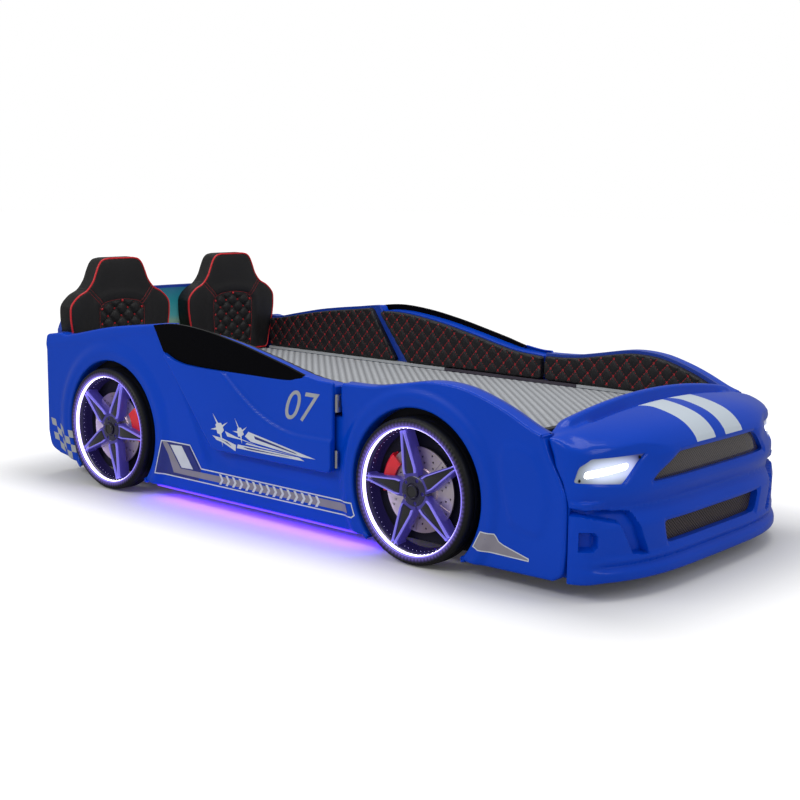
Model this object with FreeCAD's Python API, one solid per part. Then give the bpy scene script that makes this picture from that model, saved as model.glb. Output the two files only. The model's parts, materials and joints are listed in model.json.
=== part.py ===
import FreeCAD, Part
import math
import os

# Children's car bed: a low bed between two moulded car sides, with a hinged door on each
# side, an upholstered inside, two seat-shaped cushions at the head and lit wheels.
# Millimetres. +X runs to the nose, -Y is the car's right side, +Z is up, and the floor is z = 0.
# The right side is drawn once and mirrored for the left.

V = FreeCAD.Vector
os.makedirs("parts", exist_ok=True)

# ---- driving dimensions -------------------------------------------------------------------
LENGTH = 2198.0
REAR_X = -LENGTH / 2
NOSE_X = LENGTH / 2
SIDE_Y = 495.0            # outer face of the side mouldings
BOARD_Y = 458.0           # outer face of the side boards, which close the mouldings' backs
INNER_Y = 448.0           # inner face of the side boards
SKIN = 4.0                # wall of a side moulding
SILL_Z = 47.0
BOARD_FOOT_Z = 60.0
BOARD = 22.0              # headboard thickness

DOOR_Y = 520.0            # outer face of a door's raised lower part
CREASE_RISE = 8.0
DOOR_BACK_Y = 500.0       # back of the door's outer slab, clear of the side moulding
DOOR_FOOT_Z = 198.0
DOORWAY_FRONT_X = 232.0
DOORWAY_REAR_TOP = (-480.0, 543.0)
DOORWAY_REAR_FOOT = (-345.0, 352.0)
WINDOW_THICK = 9.0

WHEELS = {"front": 498.0, "rear": -751.0}
WHEEL_Z = 193.0
WHEEL_FACE_Y = 519.0
TYRE_R = 191.0
RIM_R = 169.0
ARCH_R = 226.0
FLARE_WIDTH = 32.0
FLARE_RISE = 7.0
SPOKES = 5
FIRST_SPOKE = {"front": 31.0, "rear": -4.0}      # degrees from +X towards +Z
CALIPER_AT = {"front": 163.0, "rear": 12.0}

MATTRESS_LENGTH = 1900.0
MATTRESS_WIDTH = 888.0
MATTRESS_THICK = 160.0
MATTRESS_TOP = 346.0
MATTRESS_CROWN = 6.0
MATTRESS_HEAD = -1064.0
LEDGE_TOP = 357.5
LEDGE_THICK = 9.0
LEDGE_REACH = 22.0

PAD_THICK = 20.0
PAD_BASE_Z = 359.5
QUILT_PITCH = 48.0
QUILT_DEPTH = 2.4

SEAT_THICK = 58.0
SEAT_CENTRE_Y = 248.0
SEAT_BASE_Z = 354.0

HINGE_X = 226.0
HINGE_Y = -501.0
HINGE_PIN_R = 2.5
HINGE_PLAY = 0.06
KNUCKLE_R = 5.2
HINGE_LEAF = 1.8
LEAF_GAP = 0.02           # between a hinge leaf and the doorway edge that it is screwed to
HINGE_LEVELS = (236.0, 387.0)
HINGE_HEIGHT = 46.0

SLAT_THICK = 18.0
SLATS = 15
RAIL_HEIGHT = 70.0
RAIL_WIDTH = 25.0
BOLT_R = 3.0
BOLTS_X = (-985.0, -430.0, 150.0, 740.0)
LEGS_X = (-1040.0, -431.0, 189.0, 792.0)
LEG = 45.0
LEG_Y = 265.0             # the outer legs stand well in, out of sight behind the sills
CROSS_X = (-1040.0, -420.0, 200.0, 815.0)
CROSS = 22.0

INLET_R = 7.0             # the low-voltage inlet in the headboard
INLET_Y = 120.0
INLET_Z = 110.0

NOSE_BEND = 1.86e-9       # how fast the nose falls back from its middle, per mm^4 of width
HOOD_BACK = 925.0
HOOD_LEAD = 14.0          # the hood's front edge lies this far behind the bumper's face
RIM_X = 885.0
NOSE_REAR_X = 861.0
NOSE_HALF = 446.0         # between the side boards
BUMPER_HALF = 487.0
BUMPER_REAR_X = 961.0

# ---- sizes that follow --------------------------------------------------------------------
HEADBOARD_FRONT = REAR_X + BOARD
SEAT_FRONT = HEADBOARD_FRONT + SEAT_THICK
MATTRESS_FOOT = MATTRESS_HEAD + MATTRESS_LENGTH
MATTRESS_BASE = MATTRESS_TOP - MATTRESS_THICK
SLAT_BASE = MATTRESS_BASE - SLAT_THICK
RAIL_BASE = SLAT_BASE - RAIL_HEIGHT
RAIL_Y = INNER_Y - RAIL_WIDTH
PAD_FACE_Y = INNER_Y - PAD_THICK
DOOR_SHUT_Y = DOOR_Y - CREASE_RISE
DOOR_EDGE_X = HINGE_X - KNUCKLE_R - 0.4 - HINGE_LEAF / 2      # back of the door's edge leaf
RIM_FACE_Y = WHEEL_FACE_Y - 7.5


# ---- helpers ------------------------------------------------------------------------------
def outline(plane, start, *steps):
    """A closed wire in the "xz" or "yz" plane. A step is a point (a straight line to it), a
    list of points (one smooth curve through them), or "arc" with a middle and an end point."""
    place = {"xz": lambda a, b: V(a, 0, b), "yz": lambda a, b: V(0, a, b)}[plane]
    edges = []
    first = here = place(*start)
    for step in steps:
        if isinstance(step, list):
            run = [here] + [place(*point) for point in step]
            curve = Part.BSplineCurve()
            curve.interpolate(run)
            edges.append(curve.toShape())
            here = run[-1]
        elif step[0] == "arc":
            middle, end = place(*step[1]), place(*step[2])
            edges.append(Part.Arc(here, middle, end).toShape())
            here = end
        else:
            end = place(*step)
            edges.append(Part.LineSegment(here, end).toShape())
            here = end
    if (here - first).Length > 1e-6:
        edges.append(Part.LineSegment(here, first).toShape())
    return Part.Wire(edges)


def slab(wire, low, high):
    """The solid of an outline between two planes square to it."""
    face = Part.Face(wire)
    along = V(0, 1, 0) if wire.BoundBox.YLength < 1e-6 else V(1, 0, 0)
    face.translate(along * low)
    return face.extrude(along * (high - low))


def drawn_in(wire, inset):
    """The face of an outline moved inwards, with its curves redrawn as plain splines."""
    edges = []
    for edge in Part.Face(wire).makeOffset2D(-inset).OuterWire.OrderedEdges:
        if not isinstance(edge.Curve, (Part.Line, Part.Circle)):
            curve = Part.BSplineCurve()
            curve.interpolate(edge.discretize(9))
            edge = curve.toShape()
        edges.append(edge)
    return Part.Face(Part.Wire(edges))


def block(x_low, x_high, y_low, y_high, z_low, z_high):
    return Part.makeBox(x_high - x_low, y_high - y_low, z_high - z_low, V(x_low, y_low, z_low))


def drum(x, z, radius, y_low, y_high):
    """A cylinder along Y."""
    return Part.makeCylinder(radius, y_high - y_low, V(x, y_low, z), V(0, 1, 0))


def turned(profile):
    """A solid turned about the Y axis from (radius, y) points."""
    points = [V(radius, y, 0) for radius, y in profile]
    face = Part.Face(Part.makePolygon(points + points[:1]))
    return face.revolve(V(0, 0, 0), V(0, 1, 0), 360)


def spun(shape, degrees):
    """A copy turned about the Y axis, counted from +X towards +Z."""
    copy = shape.copy()
    copy.rotate(V(0, 0, 0), V(0, 1, 0), -degrees)
    return copy


def moved(shape, x=0.0, y=0.0, z=0.0):
    copy = shape.copy()
    copy.translate(V(x, y, z))
    return copy


def mirrored(shape):
    return shape.mirror(V(0, 0, 0), V(0, 1, 0))


def both_sides(shapes):
    return shapes + [mirrored(shape) for shape in shapes]


def save(name, *shapes):
    """One STEP file from the separate solids of a node."""
    solids = [solid for shape in shapes for solid in shape.Solids]
    for solid in solids:
        if not solid.isValid():
            print("not valid:", name)
    body = solids[0] if len(solids) == 1 else Part.makeCompound(solids)
    body.exportStep("parts/" + name + ".step")


def save_pair(name, *shapes):
    """The right-hand node and its mirror image on the left."""
    save(name + "_right", *shapes)
    save(name + "_left", *[mirrored(shape) for shape in shapes])


# ---- side mouldings and the boards behind them --------------------------------------------
REAR_TOP = [(-1030, 471), (-992, 468), (-938, 477), (-858, 493), (-780, 508),
            (-705, 519), (-606, 530), (-525, 540), DOORWAY_REAR_TOP]
FENDER_TOP = [(268, 442), (339, 445), (374, 450), (425, 459), (508, 474), (557, 479),
              (605, 478), (652, 472), (699, 460), (745, 445), (790, 427), (849, 400), (884, 388)]


def side_outline():
    return outline("xz", (REAR_X, 142), (REAR_X, 448), ("arc", (-1096, 459), (-1086, 464)),
                   REAR_TOP, DOORWAY_REAR_FOOT, (DOORWAY_FRONT_X, DOORWAY_REAR_FOOT[1]),
                   (DOORWAY_FRONT_X, 442), FENDER_TOP,
                   [(905, 338), (938, 282), (955, 232)], (957, 120),
                   ("arc", (950, 64), (925, 42)), (640, 38), (340, SILL_Z), (-570, SILL_Z),
                   (-850, 52), (-1037, 74), ("arc", (-1082, 94), (REAR_X, 142)))


def wheel_drums(radius, y_low, y_high):
    return [drum(x, WHEEL_Z, radius, y_low, y_high) for x in WHEELS.values()]


def side_panel():
    """The moulded side: a thin skin with turned-in edges, open behind, and a flare round
    each wheel arch."""
    around = side_outline()
    outer = slab(around, -SIDE_Y, -BOARD_Y).cut(wheel_drums(ARCH_R, -SIDE_Y - 1, -BOARD_Y + 1))
    inner = moved(drawn_in(around, SKIN), y=-SIDE_Y + SKIN)
    hollow = inner.extrude(V(0, SIDE_Y - BOARD_Y, 0))
    hollow = hollow.cut(wheel_drums(ARCH_R + SKIN, -SIDE_Y, -BOARD_Y + 2 * SKIN))
    panel = outer.cut(hollow)
    bounds = slab(around, -SIDE_Y - FLARE_RISE, -SIDE_Y + 1)
    for flare, hole in zip(wheel_drums(ARCH_R + FLARE_WIDTH, -SIDE_Y - FLARE_RISE, -SIDE_Y + 1),
                           wheel_drums(ARCH_R, -SIDE_Y - FLARE_RISE - 1, -SIDE_Y + 2)):
        panel = panel.fuse(flare.cut(hole).common(bounds))
    return panel.removeSplitter()


def side_board():
    """The flat board behind the moulding: it carries the rails, the pads and the wheels."""
    board = slab(side_outline(), -BOARD_Y, -INNER_Y)
    board = board.cut(block(REAR_X - 1, NOSE_X, -SIDE_Y, 0, 0, BOARD_FOOT_Z))
    return board.cut([drum(x, RAIL_BASE + RAIL_HEIGHT / 2, BOLT_R, -BOARD_Y - 1, -INNER_Y + 1)
                      for x in BOLTS_X])


# ---- doors --------------------------------------------------------------------------------
GLASS_TOP = [(-488, 543), (-419, 548), (-330, 543), (-264, 535), (-200, 524), (-138, 512),
             (-76, 498), (-16, 484), (43, 470)]
RAIL_TOP = [(82, 460), (120, 452), (176, 444), (219, 443)]
DOOR_CORNER = (219.0, 212.0)


def door_foot():
    """The rounded lower edge of a door, from its front corner to its rear one."""
    return (("arc", (214, 202), (203, DOOR_FOOT_Z)), (-236, DOOR_FOOT_Z),
            ("arc", (-256, 203), (-272, 219)))


def doorway_block(gap, front_x, foot_z, y_low, y_high):
    """The part of a door that fills the doorway, `gap` inside its rear and top edges."""
    foot_x = DOORWAY_REAR_FOOT[0] + gap + 3
    top_x = DOORWAY_REAR_TOP[0] + gap + 8
    around = outline("xz", (foot_x, foot_z), (top_x, 532 - gap),
                     [(-419, 536 - gap), (-330, 532 - gap), (-200, 514 - gap), (-76, 489 - gap),
                      (43, 462 - gap), (120, 447 - gap), (front_x, 439 - gap)],
                     (front_x, foot_z))
    return slab(around, y_low, y_high)


def window_outline():
    return outline("xz", (-525, 537), GLASS_TOP, [(82, 459), (120, 449)],
                   [(43, 428), (-77, 429), (-367, 433), (-480, 462)])


def door():
    """The door: an outer slab, raised below the crease, and a hollow block that fills the
    doorway behind it and carries the pad."""
    skin = slab(outline("xz", (-525, 537), GLASS_TOP, RAIL_TOP, DOOR_CORNER, *door_foot(),
                        (-480, 462)), -DOOR_SHUT_Y, -DOOR_BACK_Y)
    skin = skin.cut(slab(window_outline(), -DOOR_Y, -DOOR_BACK_Y + 1))
    lower = outline("xz", DOOR_CORNER, *door_foot(), [(-300, 262), (-242, 370), (-207, 429)],
                    [(-132, 372), (-42, 320), (69, 290), (219, 289)])
    raised = slab(lower, -DOOR_Y, -DOOR_SHUT_Y + 1)
    inner = doorway_block(6.0, DOOR_EDGE_X, PAD_BASE_Z, -DOOR_BACK_Y - 1, -INNER_Y)
    hollow = doorway_block(26.0, DOOR_EDGE_X - 20, PAD_BASE_Z + 18, -DOOR_BACK_Y + 4, -INNER_Y + 1)
    window = slab(window_outline(), -DOOR_Y, -DOOR_BACK_Y)
    return skin.fuse([raised, inner.cut(window)]).removeSplitter().cut(hollow)


def door_window():
    return slab(window_outline(), -DOOR_BACK_Y - WINDOW_THICK, -DOOR_BACK_Y)


# ---- door hinges --------------------------------------------------------------------------
def knuckle(z_low, z_high):
    """One barrel of a hinge, with its bore for the pin."""
    barrel = Part.makeCylinder(KNUCKLE_R, z_high - z_low, V(HINGE_X, HINGE_Y, z_low))
    return barrel.cut(Part.makeCylinder(HINGE_PIN_R + HINGE_PLAY, z_high - z_low + 2,
                                        V(HINGE_X, HINGE_Y, z_low - 1)))


def barrel_spans(level):
    """The heights of a hinge's barrels: two on the fixed leaf and one between them."""
    low, high = level - HINGE_HEIGHT / 2, level + HINGE_HEIGHT / 2
    third, gap = HINGE_HEIGHT / 3, 0.3
    return ((low, low + third - gap), (high - third + gap, high)), ((low + third, high - third),)


def leaf(plate, tongue, spans):
    """One leaf: a plate, and at each barrel a tongue to it. Both are (x, x, y, y) limits."""
    parts = [block(*tongue, *span) for span in spans] + [knuckle(*span) for span in spans]
    return plate.fuse(parts).removeSplitter()


def lower_hinge(level):
    """Its leaves lie face to face behind the shut door, flat on the side."""
    low, high = level - HINGE_HEIGHT / 2, level + HINGE_HEIGHT / 2
    leaves = []
    for y, spans in zip((-SIDE_Y - HINGE_LEAF, -DOOR_BACK_Y), barrel_spans(level)):
        plate = block(HINGE_X - 34, HINGE_X - KNUCKLE_R - 0.6, y, y + HINGE_LEAF, low, high)
        tongue = (HINGE_X - KNUCKLE_R - 1, HINGE_X - 3.2, y, y + HINGE_LEAF)
        leaves.append(leaf(plate, tongue, spans))
    return leaves


def upper_hinge(level):
    """Its leaves line the front edge of the doorway and the edge of the door that faces it."""
    low, high = level - HINGE_HEIGHT / 2, level + HINGE_HEIGHT / 2
    clear_y = HINGE_Y + KNUCKLE_R + 0.6
    leaves = []
    fixed_x = DOORWAY_FRONT_X - LEAF_GAP - HINGE_LEAF
    for x, spans in zip((fixed_x, DOOR_EDGE_X), barrel_spans(level)):
        plate = block(x, x + HINGE_LEAF, clear_y, clear_y + 32, low, high)
        tongue = (x, x + HINGE_LEAF, HINGE_Y + 1, clear_y + 1)
        leaves.append(leaf(plate, tongue, spans))
    return leaves


def hinge_pin(level):
    low = level - HINGE_HEIGHT / 2
    pin = Part.makeCylinder(HINGE_PIN_R, HINGE_HEIGHT, V(HINGE_X, HINGE_Y, low))
    head = Part.makeCylinder(HINGE_PIN_R + 1.2, 1.5, V(HINGE_X, HINGE_Y, low + HINGE_HEIGHT + 0.01))
    return pin.fuse(head).removeSplitter()


# ---- upholstery ---------------------------------------------------------------------------
def diagonal_grooves(plane, low, high, base, span, face, outward, pitch):
    """V-shaped stitching channels along both diagonals of a face."""
    tools = []
    across = {"xz": V(1, 0, 0), "yz": V(0, 1, 0)}[plane]
    normal = {"xz": V(0, 1, 0), "yz": V(1, 0, 0)}[plane] * outward
    level = V(0, 0, base)
    surface = {"xz": V(0, face, 0), "yz": V(face, 0, 0)}[plane]
    count = int((high - low + 2 * span) / pitch) + 1
    for index in range(count):
        for lean in (1, -1):
            foot = low - span + index * pitch if lean > 0 else low + index * pitch
            middle = surface + level + across * foot
            lip = normal * 0.3
            section = Part.makePolygon([middle - across * QUILT_DEPTH + lip,
                                        middle + across * QUILT_DEPTH + lip,
                                        middle - normal * QUILT_DEPTH,
                                        middle - across * QUILT_DEPTH + lip])
            tools.append(Part.Face(section).extrude(across * lean * span + V(0, 0, span)))
    return tools


def side_pad(around, low, high):
    """A pad on the inside of a side: its face edges are drawn in and its face is quilted."""
    pad = slab(around, -INNER_Y, -PAD_FACE_Y)
    rim = [edge for edge in pad.Edges if edge.BoundBox.YMin > -PAD_FACE_Y - 0.1]
    pad = pad.makeChamfer(5.0, rim)
    return pad.cut(diagonal_grooves("xz", low, high, PAD_BASE_Z - 2, 200.0, -PAD_FACE_Y, 1,
                                    QUILT_PITCH))


def rear_pad():
    around = outline("xz", (-1012, PAD_BASE_Z), (-1012, 461),
                     [(-992, 462), (-938, 470), (-858, 485), (-780, 499), (-705, 510), (-606, 521),
                      (-510, 533)], (-500, 528), (-383, PAD_BASE_Z))
    return side_pad(around, -1012, -383)


def front_pad():
    around = outline("xz", (238, PAD_BASE_Z), (238, 433), [(304, 434), (374, 441), (425, 450),
                     (508, 465), (557, 470), (605, 469), (652, 463), (699, 450), (745, 434),
                     (790, 415), (836, 391)], (836, PAD_BASE_Z))
    return side_pad(around, 238, 836)


def door_pad():
    pad = doorway_block(9.0, DOORWAY_FRONT_X - 6, PAD_BASE_Z, -INNER_Y, -PAD_FACE_Y)
    rim = [edge for edge in pad.Edges if edge.BoundBox.YMin > -PAD_FACE_Y - 0.1]
    pad = pad.makeChamfer(5.0, rim)
    return pad.cut(diagonal_grooves("xz", -470, DOORWAY_FRONT_X, PAD_BASE_Z - 2, 200.0,
                                    -PAD_FACE_Y, 1, QUILT_PITCH))


SEAT_HALF = [(200, 478), (205, 528), (200, 558), (170, 588), (132, 608), (104, 660), (88, 690)]


def seat():
    """A seat-shaped cushion fixed to the headboard: headrest, shoulders, a softened front
    edge and a tufted inset."""
    climb = [(-y, z) for y, z in SEAT_HALF]
    descend = [(y, z) for y, z in reversed(SEAT_HALF)]
    around = outline("yz", (-176, SEAT_BASE_Z), climb, ("arc", (-78, 702), (-56, 707)),
                     (56, 707), ("arc", (78, 702), (88, 690)), descend[1:] + [(176, SEAT_BASE_Z)])
    cushion = slab(around, HEADBOARD_FRONT, SEAT_FRONT)
    rim = [edge for edge in cushion.Edges if edge.BoundBox.XMin > SEAT_FRONT - 0.1]
    cushion = cushion.makeChamfer(7.0, rim)
    arch = outline("yz", (-86, SEAT_BASE_Z + 12), (-92, 525), ("arc", (-80, 556), (-50, 565)),
                   ("arc", (0, 569), (50, 565)), ("arc", (80, 556), (92, 525)), (86, SEAT_BASE_Z + 12))
    inset = slab(arch, SEAT_FRONT - 4, SEAT_FRONT + 1)
    ring = inset.cut(moved(Part.Face(arch).makeOffset2D(-4.0), SEAT_FRONT - 6).extrude(V(9, 0, 0)))
    tufts = [tool.common(inset) for tool in
             diagonal_grooves("yz", -92, 92, SEAT_BASE_Z + 14, 220.0, SEAT_FRONT, 1, 50.0)]
    tufts = [tuft for tuft in tufts if tuft.Volume > 1.0]
    return moved(cushion.cut([ring] + tufts), y=-SEAT_CENTRE_Y)


def mattress_section(x, inset):
    """The mattress across its width: a crowned top and sides that bulge a little."""
    half = MATTRESS_WIDTH / 2 - inset
    top = MATTRESS_TOP - inset
    foot = MATTRESS_BASE + inset
    around = outline("yz", (-half + 8, foot), ("arc", (-half, 262), (-half + 3, top - 14)),
                     ("arc", (-half + 10, top - 6), (-half + 30, top - 2)),
                     ("arc", (0, top + MATTRESS_CROWN), (half - 30, top - 2)),
                     ("arc", (half - 10, top - 6), (half - 3, top - 14)),
                     ("arc", (half, 262), (half - 8, foot)))
    around.translate(V(x, 0, 0))
    return around


def mattress():
    soft = 8.0
    return Part.makeLoft([mattress_section(MATTRESS_HEAD, soft), mattress_section(MATTRESS_HEAD + soft, 0),
                          mattress_section(MATTRESS_FOOT - soft, 0), mattress_section(MATTRESS_FOOT, soft)],
                         True, True)


# ---- wheels -------------------------------------------------------------------------------
def tyre():
    face, back = -WHEEL_FACE_Y, -BOARD_Y - 0.5
    return turned([(RIM_R + 1, back), (TYRE_R - 5, back), (TYRE_R, back - 8), (TYRE_R, face + 12),
                   (TYRE_R - 3, face + 4), (TYRE_R - 9, face), (RIM_R + 6, face),
                   (RIM_R + 1, face + 3)])


def led_ring():
    face, back = -WHEEL_FACE_Y + 2, -RIM_FACE_Y
    return turned([(RIM_R - 7, back), (RIM_R + 0.5, back), (RIM_R + 0.5, face + 1.5),
                   (RIM_R - 1, face), (RIM_R - 5, face), (RIM_R - 7, face + 1.5)])


def spoke():
    """One double-edged spoke along +X: a deep web behind and two raised ridges in front."""
    face = -WHEEL_FACE_Y + 9
    plan = outline("xz", (22, -19), (60, -21), (RIM_R - 14, -9), (RIM_R - 14, 9), (60, 21), (22, 19))
    web = slab(plan, face + 4, face + 26)
    ridges = []
    for side in (-1, 1):
        ridge = outline("xz", (24, side * 12), (60, side * 13), (RIM_R - 13, side * 1.5),
                        (RIM_R - 13, side * 7), (60, side * 20), (24, side * 18))
        ridges.append(slab(ridge, face, face + 6))
    return web.fuse(ridges)


def rim(first_spoke):
    """The rim: a rolled lip, a barrel, five spokes and the hub with its bolt pockets."""
    face, back = -RIM_FACE_Y, -BOARD_Y
    barrel = turned([(RIM_R - 8, face), (RIM_R, face), (RIM_R, back), (RIM_R - 12, back),
                     (RIM_R - 16, face + 14), (RIM_R - 12, face + 3)])
    hub = turned([(0.0, face + 4), (34, face + 4), (40, face + 9), (40, back), (0.0, back)])
    wheel = barrel.fuse([hub] + [spun(spoke(), first_spoke + 360 / SPOKES * index)
                                 for index in range(SPOKES)])
    pockets = [spun(drum(27.5, 0, 4.2, face, face + 12), first_spoke + 36 + 360 / SPOKES * index)
               for index in range(SPOKES)]
    cap_seat = drum(0, 0, 17.2, face - 1, face + 9)
    return wheel.cut(pockets + [cap_seat]).removeSplitter()


def brake_disc(first_spoke):
    """The drilled and slotted disc behind the spokes."""
    face = -WHEEL_FACE_Y + 42
    disc = turned([(40, face + 4), (40, face - 4), (58, face - 4), (58, face), (112, face),
                   (112, face + 4)])
    holes = [spun(drum(radius, 0, 2.6, face - 1, face + 5), first_spoke + 24 * index + turn)
             for index in range(15) for radius, turn in ((74, 0.0), (88, 6.0), (101, 12.0))]
    slots = [spun(block(66, 108, face - 1, face + 1.5, -1, 1), first_spoke + 18 + 72 * index)
             for index in range(SPOKES)]
    return disc.cut(holes + slots)


def caliper(centre):
    """The brake caliper that grips the disc's edge."""
    face = -WHEEL_FACE_Y + 42
    sweep = 52.0
    section = [V(84, face - 7, 0), V(118, face - 7, 0), V(124, face - 2, 0), V(124, -BOARD_Y, 0),
               V(113, -BOARD_Y, 0), V(113, face - 1, 0), V(84, face - 1, 0), V(84, face - 7, 0)]
    body = Part.Face(Part.makePolygon(section)).revolve(V(0, 0, 0), V(0, 1, 0), -sweep)
    return spun(body, centre - sweep / 2)


def hub_cap():
    return turned([(0.0, -WHEEL_FACE_Y + 3), (11, -WHEEL_FACE_Y + 4), (16, -WHEEL_FACE_Y + 8),
                   (17, -WHEEL_FACE_Y + 12), (17, -WHEEL_FACE_Y + 16.4), (0.0, -WHEEL_FACE_Y + 16.4)])


# ---- nose ---------------------------------------------------------------------------------
def nose_front(y):
    return NOSE_X - NOSE_BEND * abs(y) ** 4


def hood_height(y, t):
    """The hood's height from its rear (t = 0) to its front edge (t = 1)."""
    reach = nose_front(y) - HOOD_LEAD - HOOD_BACK
    u = min(max((t * reach + t * (NOSE_X - nose_front(y))) / 160.0, 0.0), 1.0)
    return 427.0 - 40.0 * u ** 1.5 - 33.0 * u ** 6 - 45.0 * (y / SIDE_Y) ** 2


def face_profile(y, inset):
    """The bumper's face at one place across the nose, from the lip up to the hood's edge."""
    front = nose_front(y) - inset
    foot = 42.0 if inset == 0 else 30.0
    return [(front - 16, foot), (front, 54 if inset == 0 else 40), (front - 1, 82), (front - 12, 102),
            (front - 12, 182), (front - 26, 204), (front - 26, 252),
            (front - HOOD_LEAD, hood_height(y, 1.0) - inset)]


def ring_at(y, points):
    around = [V(x, y, z) for x, z in points]
    return Part.makePolygon(around + around[:1])


def nose_section(y, inset):
    """The whole nose between the sides: face, hood, trough and raised rear rim."""
    lead = nose_front(y) - inset - HOOD_LEAD
    rear = NOSE_REAR_X if inset == 0 else NOSE_REAR_X - 8
    rim_z = 450.0 - 55.0 * (y / SIDE_Y) ** 2 - inset
    hood = [(HOOD_BACK + t * (lead - HOOD_BACK), hood_height(y, t) - inset)
            for t in (0.86, 0.66, 0.42, 0.2, 0.0)]
    back = [(906.0, hood_height(y, 0.0) - 4 - inset), (RIM_X, rim_z), (rear, rim_z - 9),
            (rear, 42.0 if inset == 0 else 30.0)]
    return ring_at(y, face_profile(y, inset) + hood + back)


def bumper_section(y, inset):
    """The ends of the nose in front of the fenders."""
    rear = BUMPER_REAR_X + inset
    lead = nose_front(y) - inset - HOOD_LEAD
    t = max((rear - HOOD_BACK) / (lead - HOOD_BACK), 0.0)
    top = [(rear + (lead - rear) / 2, hood_height(y, (1 + t) / 2) - inset),
           (rear, hood_height(y, t) - inset), (rear, 42.0 if inset == 0 else 30.0)]
    return ring_at(y, face_profile(y, inset) + top)


def nose_solid(inset):
    half = NOSE_HALF - inset
    stations = [-half, -400, -340, -260, -140, 0, 140, 260, 340, 400, half]
    middle = Part.makeLoft([nose_section(y, inset) for y in stations], True, True)
    overlap = 3.0
    end = Part.makeLoft([bumper_section(y, inset) for y in
                         (-BUMPER_HALF + inset, -NOSE_HALF - 12, -NOSE_HALF + overlap + inset)],
                        True, True)
    return middle.fuse([end, mirrored(end)])


UPPER_GRILLE = [(-286, 272), (-190, 336), (190, 336), (286, 272)]
LOWER_GRILLE = [(-226, 114), (-244, 172), (244, 172), (226, 114)]
HEADLIGHT = [(-310, 336), (-381, 277), (-474, 286), (-450, 332)]


def window_through(corners, grow=0.0):
    """A prism along X on a YZ outline, to cut or to keep part of the nose."""
    face = Part.Face(outline("yz", corners[0], *corners[1:]))
    if grow:
        face = face.makeOffset2D(grow)
    return moved(face, 900).extrude(V(300, 0, 0))


def nose_layer(corners, outer, inner, grow=0.0):
    """A curved sheet that follows the nose between two depths, inside a YZ outline."""
    return nose_solids[outer].common(window_through(corners, grow)).cut(nose_solids[inner])


def headlight_screws(corners):
    middle_y = sum(y for y, z in corners) / len(corners)
    middle_z = sum(z for y, z in corners) / len(corners)
    screws = []
    for y, z in corners:
        at_y, at_z = y + (middle_y - y) * 0.13, z + (middle_z - z) * 0.13
        depth = nose_front(at_y) - 45
        screws.append(Part.makeCylinder(2.2, 45, V(depth, at_y, at_z), V(1, 0, 0)))
    return screws


# ---- base ---------------------------------------------------------------------------------
def side_rail():
    rail = block(MATTRESS_HEAD, MATTRESS_FOOT, -INNER_Y, -RAIL_Y, RAIL_BASE, SLAT_BASE)
    return rail.cut([drum(x, RAIL_BASE + RAIL_HEIGHT / 2, BOLT_R, -INNER_Y - 1, -RAIL_Y + 1)
                     for x in BOLTS_X])


def rail_bolt(x):
    """A bolt through a rail and the side board, with its nut outside."""
    z = RAIL_BASE + RAIL_HEIGHT / 2
    shank = drum(x, z, BOLT_R, -BOARD_Y - 6, -RAIL_Y)
    head = drum(x, z, 6.5, -RAIL_Y, -RAIL_Y + 3.5)
    nut = drum(x, z, 6.0, -BOARD_Y - 5, -BOARD_Y)
    return shank.fuse([head, nut]).removeSplitter()


def slats():
    pitch = (MATTRESS_LENGTH - 70) / (SLATS - 1)
    return [block(MATTRESS_HEAD + pitch * index, MATTRESS_HEAD + pitch * index + 70,
                  -INNER_Y + 2, INNER_Y - 2, SLAT_BASE, MATTRESS_BASE) for index in range(SLATS)]


def legs():
    side = [block(x, x + LEG, -LEG_Y - LEG / 2, -LEG_Y + LEG / 2, 0, RAIL_BASE) for x in LEGS_X]
    middle = [block(x, x + LEG, -LEG / 2, LEG / 2, 0, RAIL_BASE) for x in LEGS_X[1:3]]
    return both_sides(side) + middle


def centre_beam():
    """The beam along the middle, in lengths between the cross members."""
    return [block(low + CROSS, high, -20, 20, RAIL_BASE, SLAT_BASE)
            for low, high in zip(CROSS_X, CROSS_X[1:])]


# ---- head end -----------------------------------------------------------------------------
def headboard_outline(inset):
    low = 320.0 if inset else BOARD_FOOT_Z
    half = INNER_Y - inset
    rise = [(-430, 512), (-385, 565), (-310, 592), (-180, 599), (0, 600)]
    rise = [(y + inset * 0.6, z - inset) for y, z in rise[:-1]] + [(0, 600 - inset)]
    fall = [(-y, z) for y, z in reversed(rise[:-1])]
    return outline("yz", (-half, low), (-half, 474 - inset), rise + fall + [(half, 474 - inset)],
                   (half, low))


def headboard():
    board = slab(headboard_outline(0.0), REAR_X, HEADBOARD_FRONT)
    return board.cut(Part.makeCylinder(INLET_R + 0.3, BOARD + 2,
                                       V(REAR_X - 1, INLET_Y, INLET_Z), V(1, 0, 0)))


def control_box():
    """The light controller behind the headboard, with its inlet stub through the board."""
    box = block(HEADBOARD_FRONT, HEADBOARD_FRONT + 30, INLET_Y - 55, INLET_Y + 55, 75, 145)
    stub = Part.makeCylinder(INLET_R, BOARD - 1, V(REAR_X + 2, INLET_Y, INLET_Z), V(1, 0, 0))
    socket = Part.makeCylinder(2.8, 14, V(REAR_X + 1, INLET_Y, INLET_Z), V(1, 0, 0))
    return box.fuse(stub).cut(socket).removeSplitter()


# ---- build --------------------------------------------------------------------------------
save_pair("side_panel", side_panel())
save_pair("side_board", side_board())
save_pair("door", door())
save_pair("door_window", door_window())
save_pair("door_pad", door_pad())
save_pair("rear_pad", rear_pad())
save_pair("front_pad", front_pad())

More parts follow.
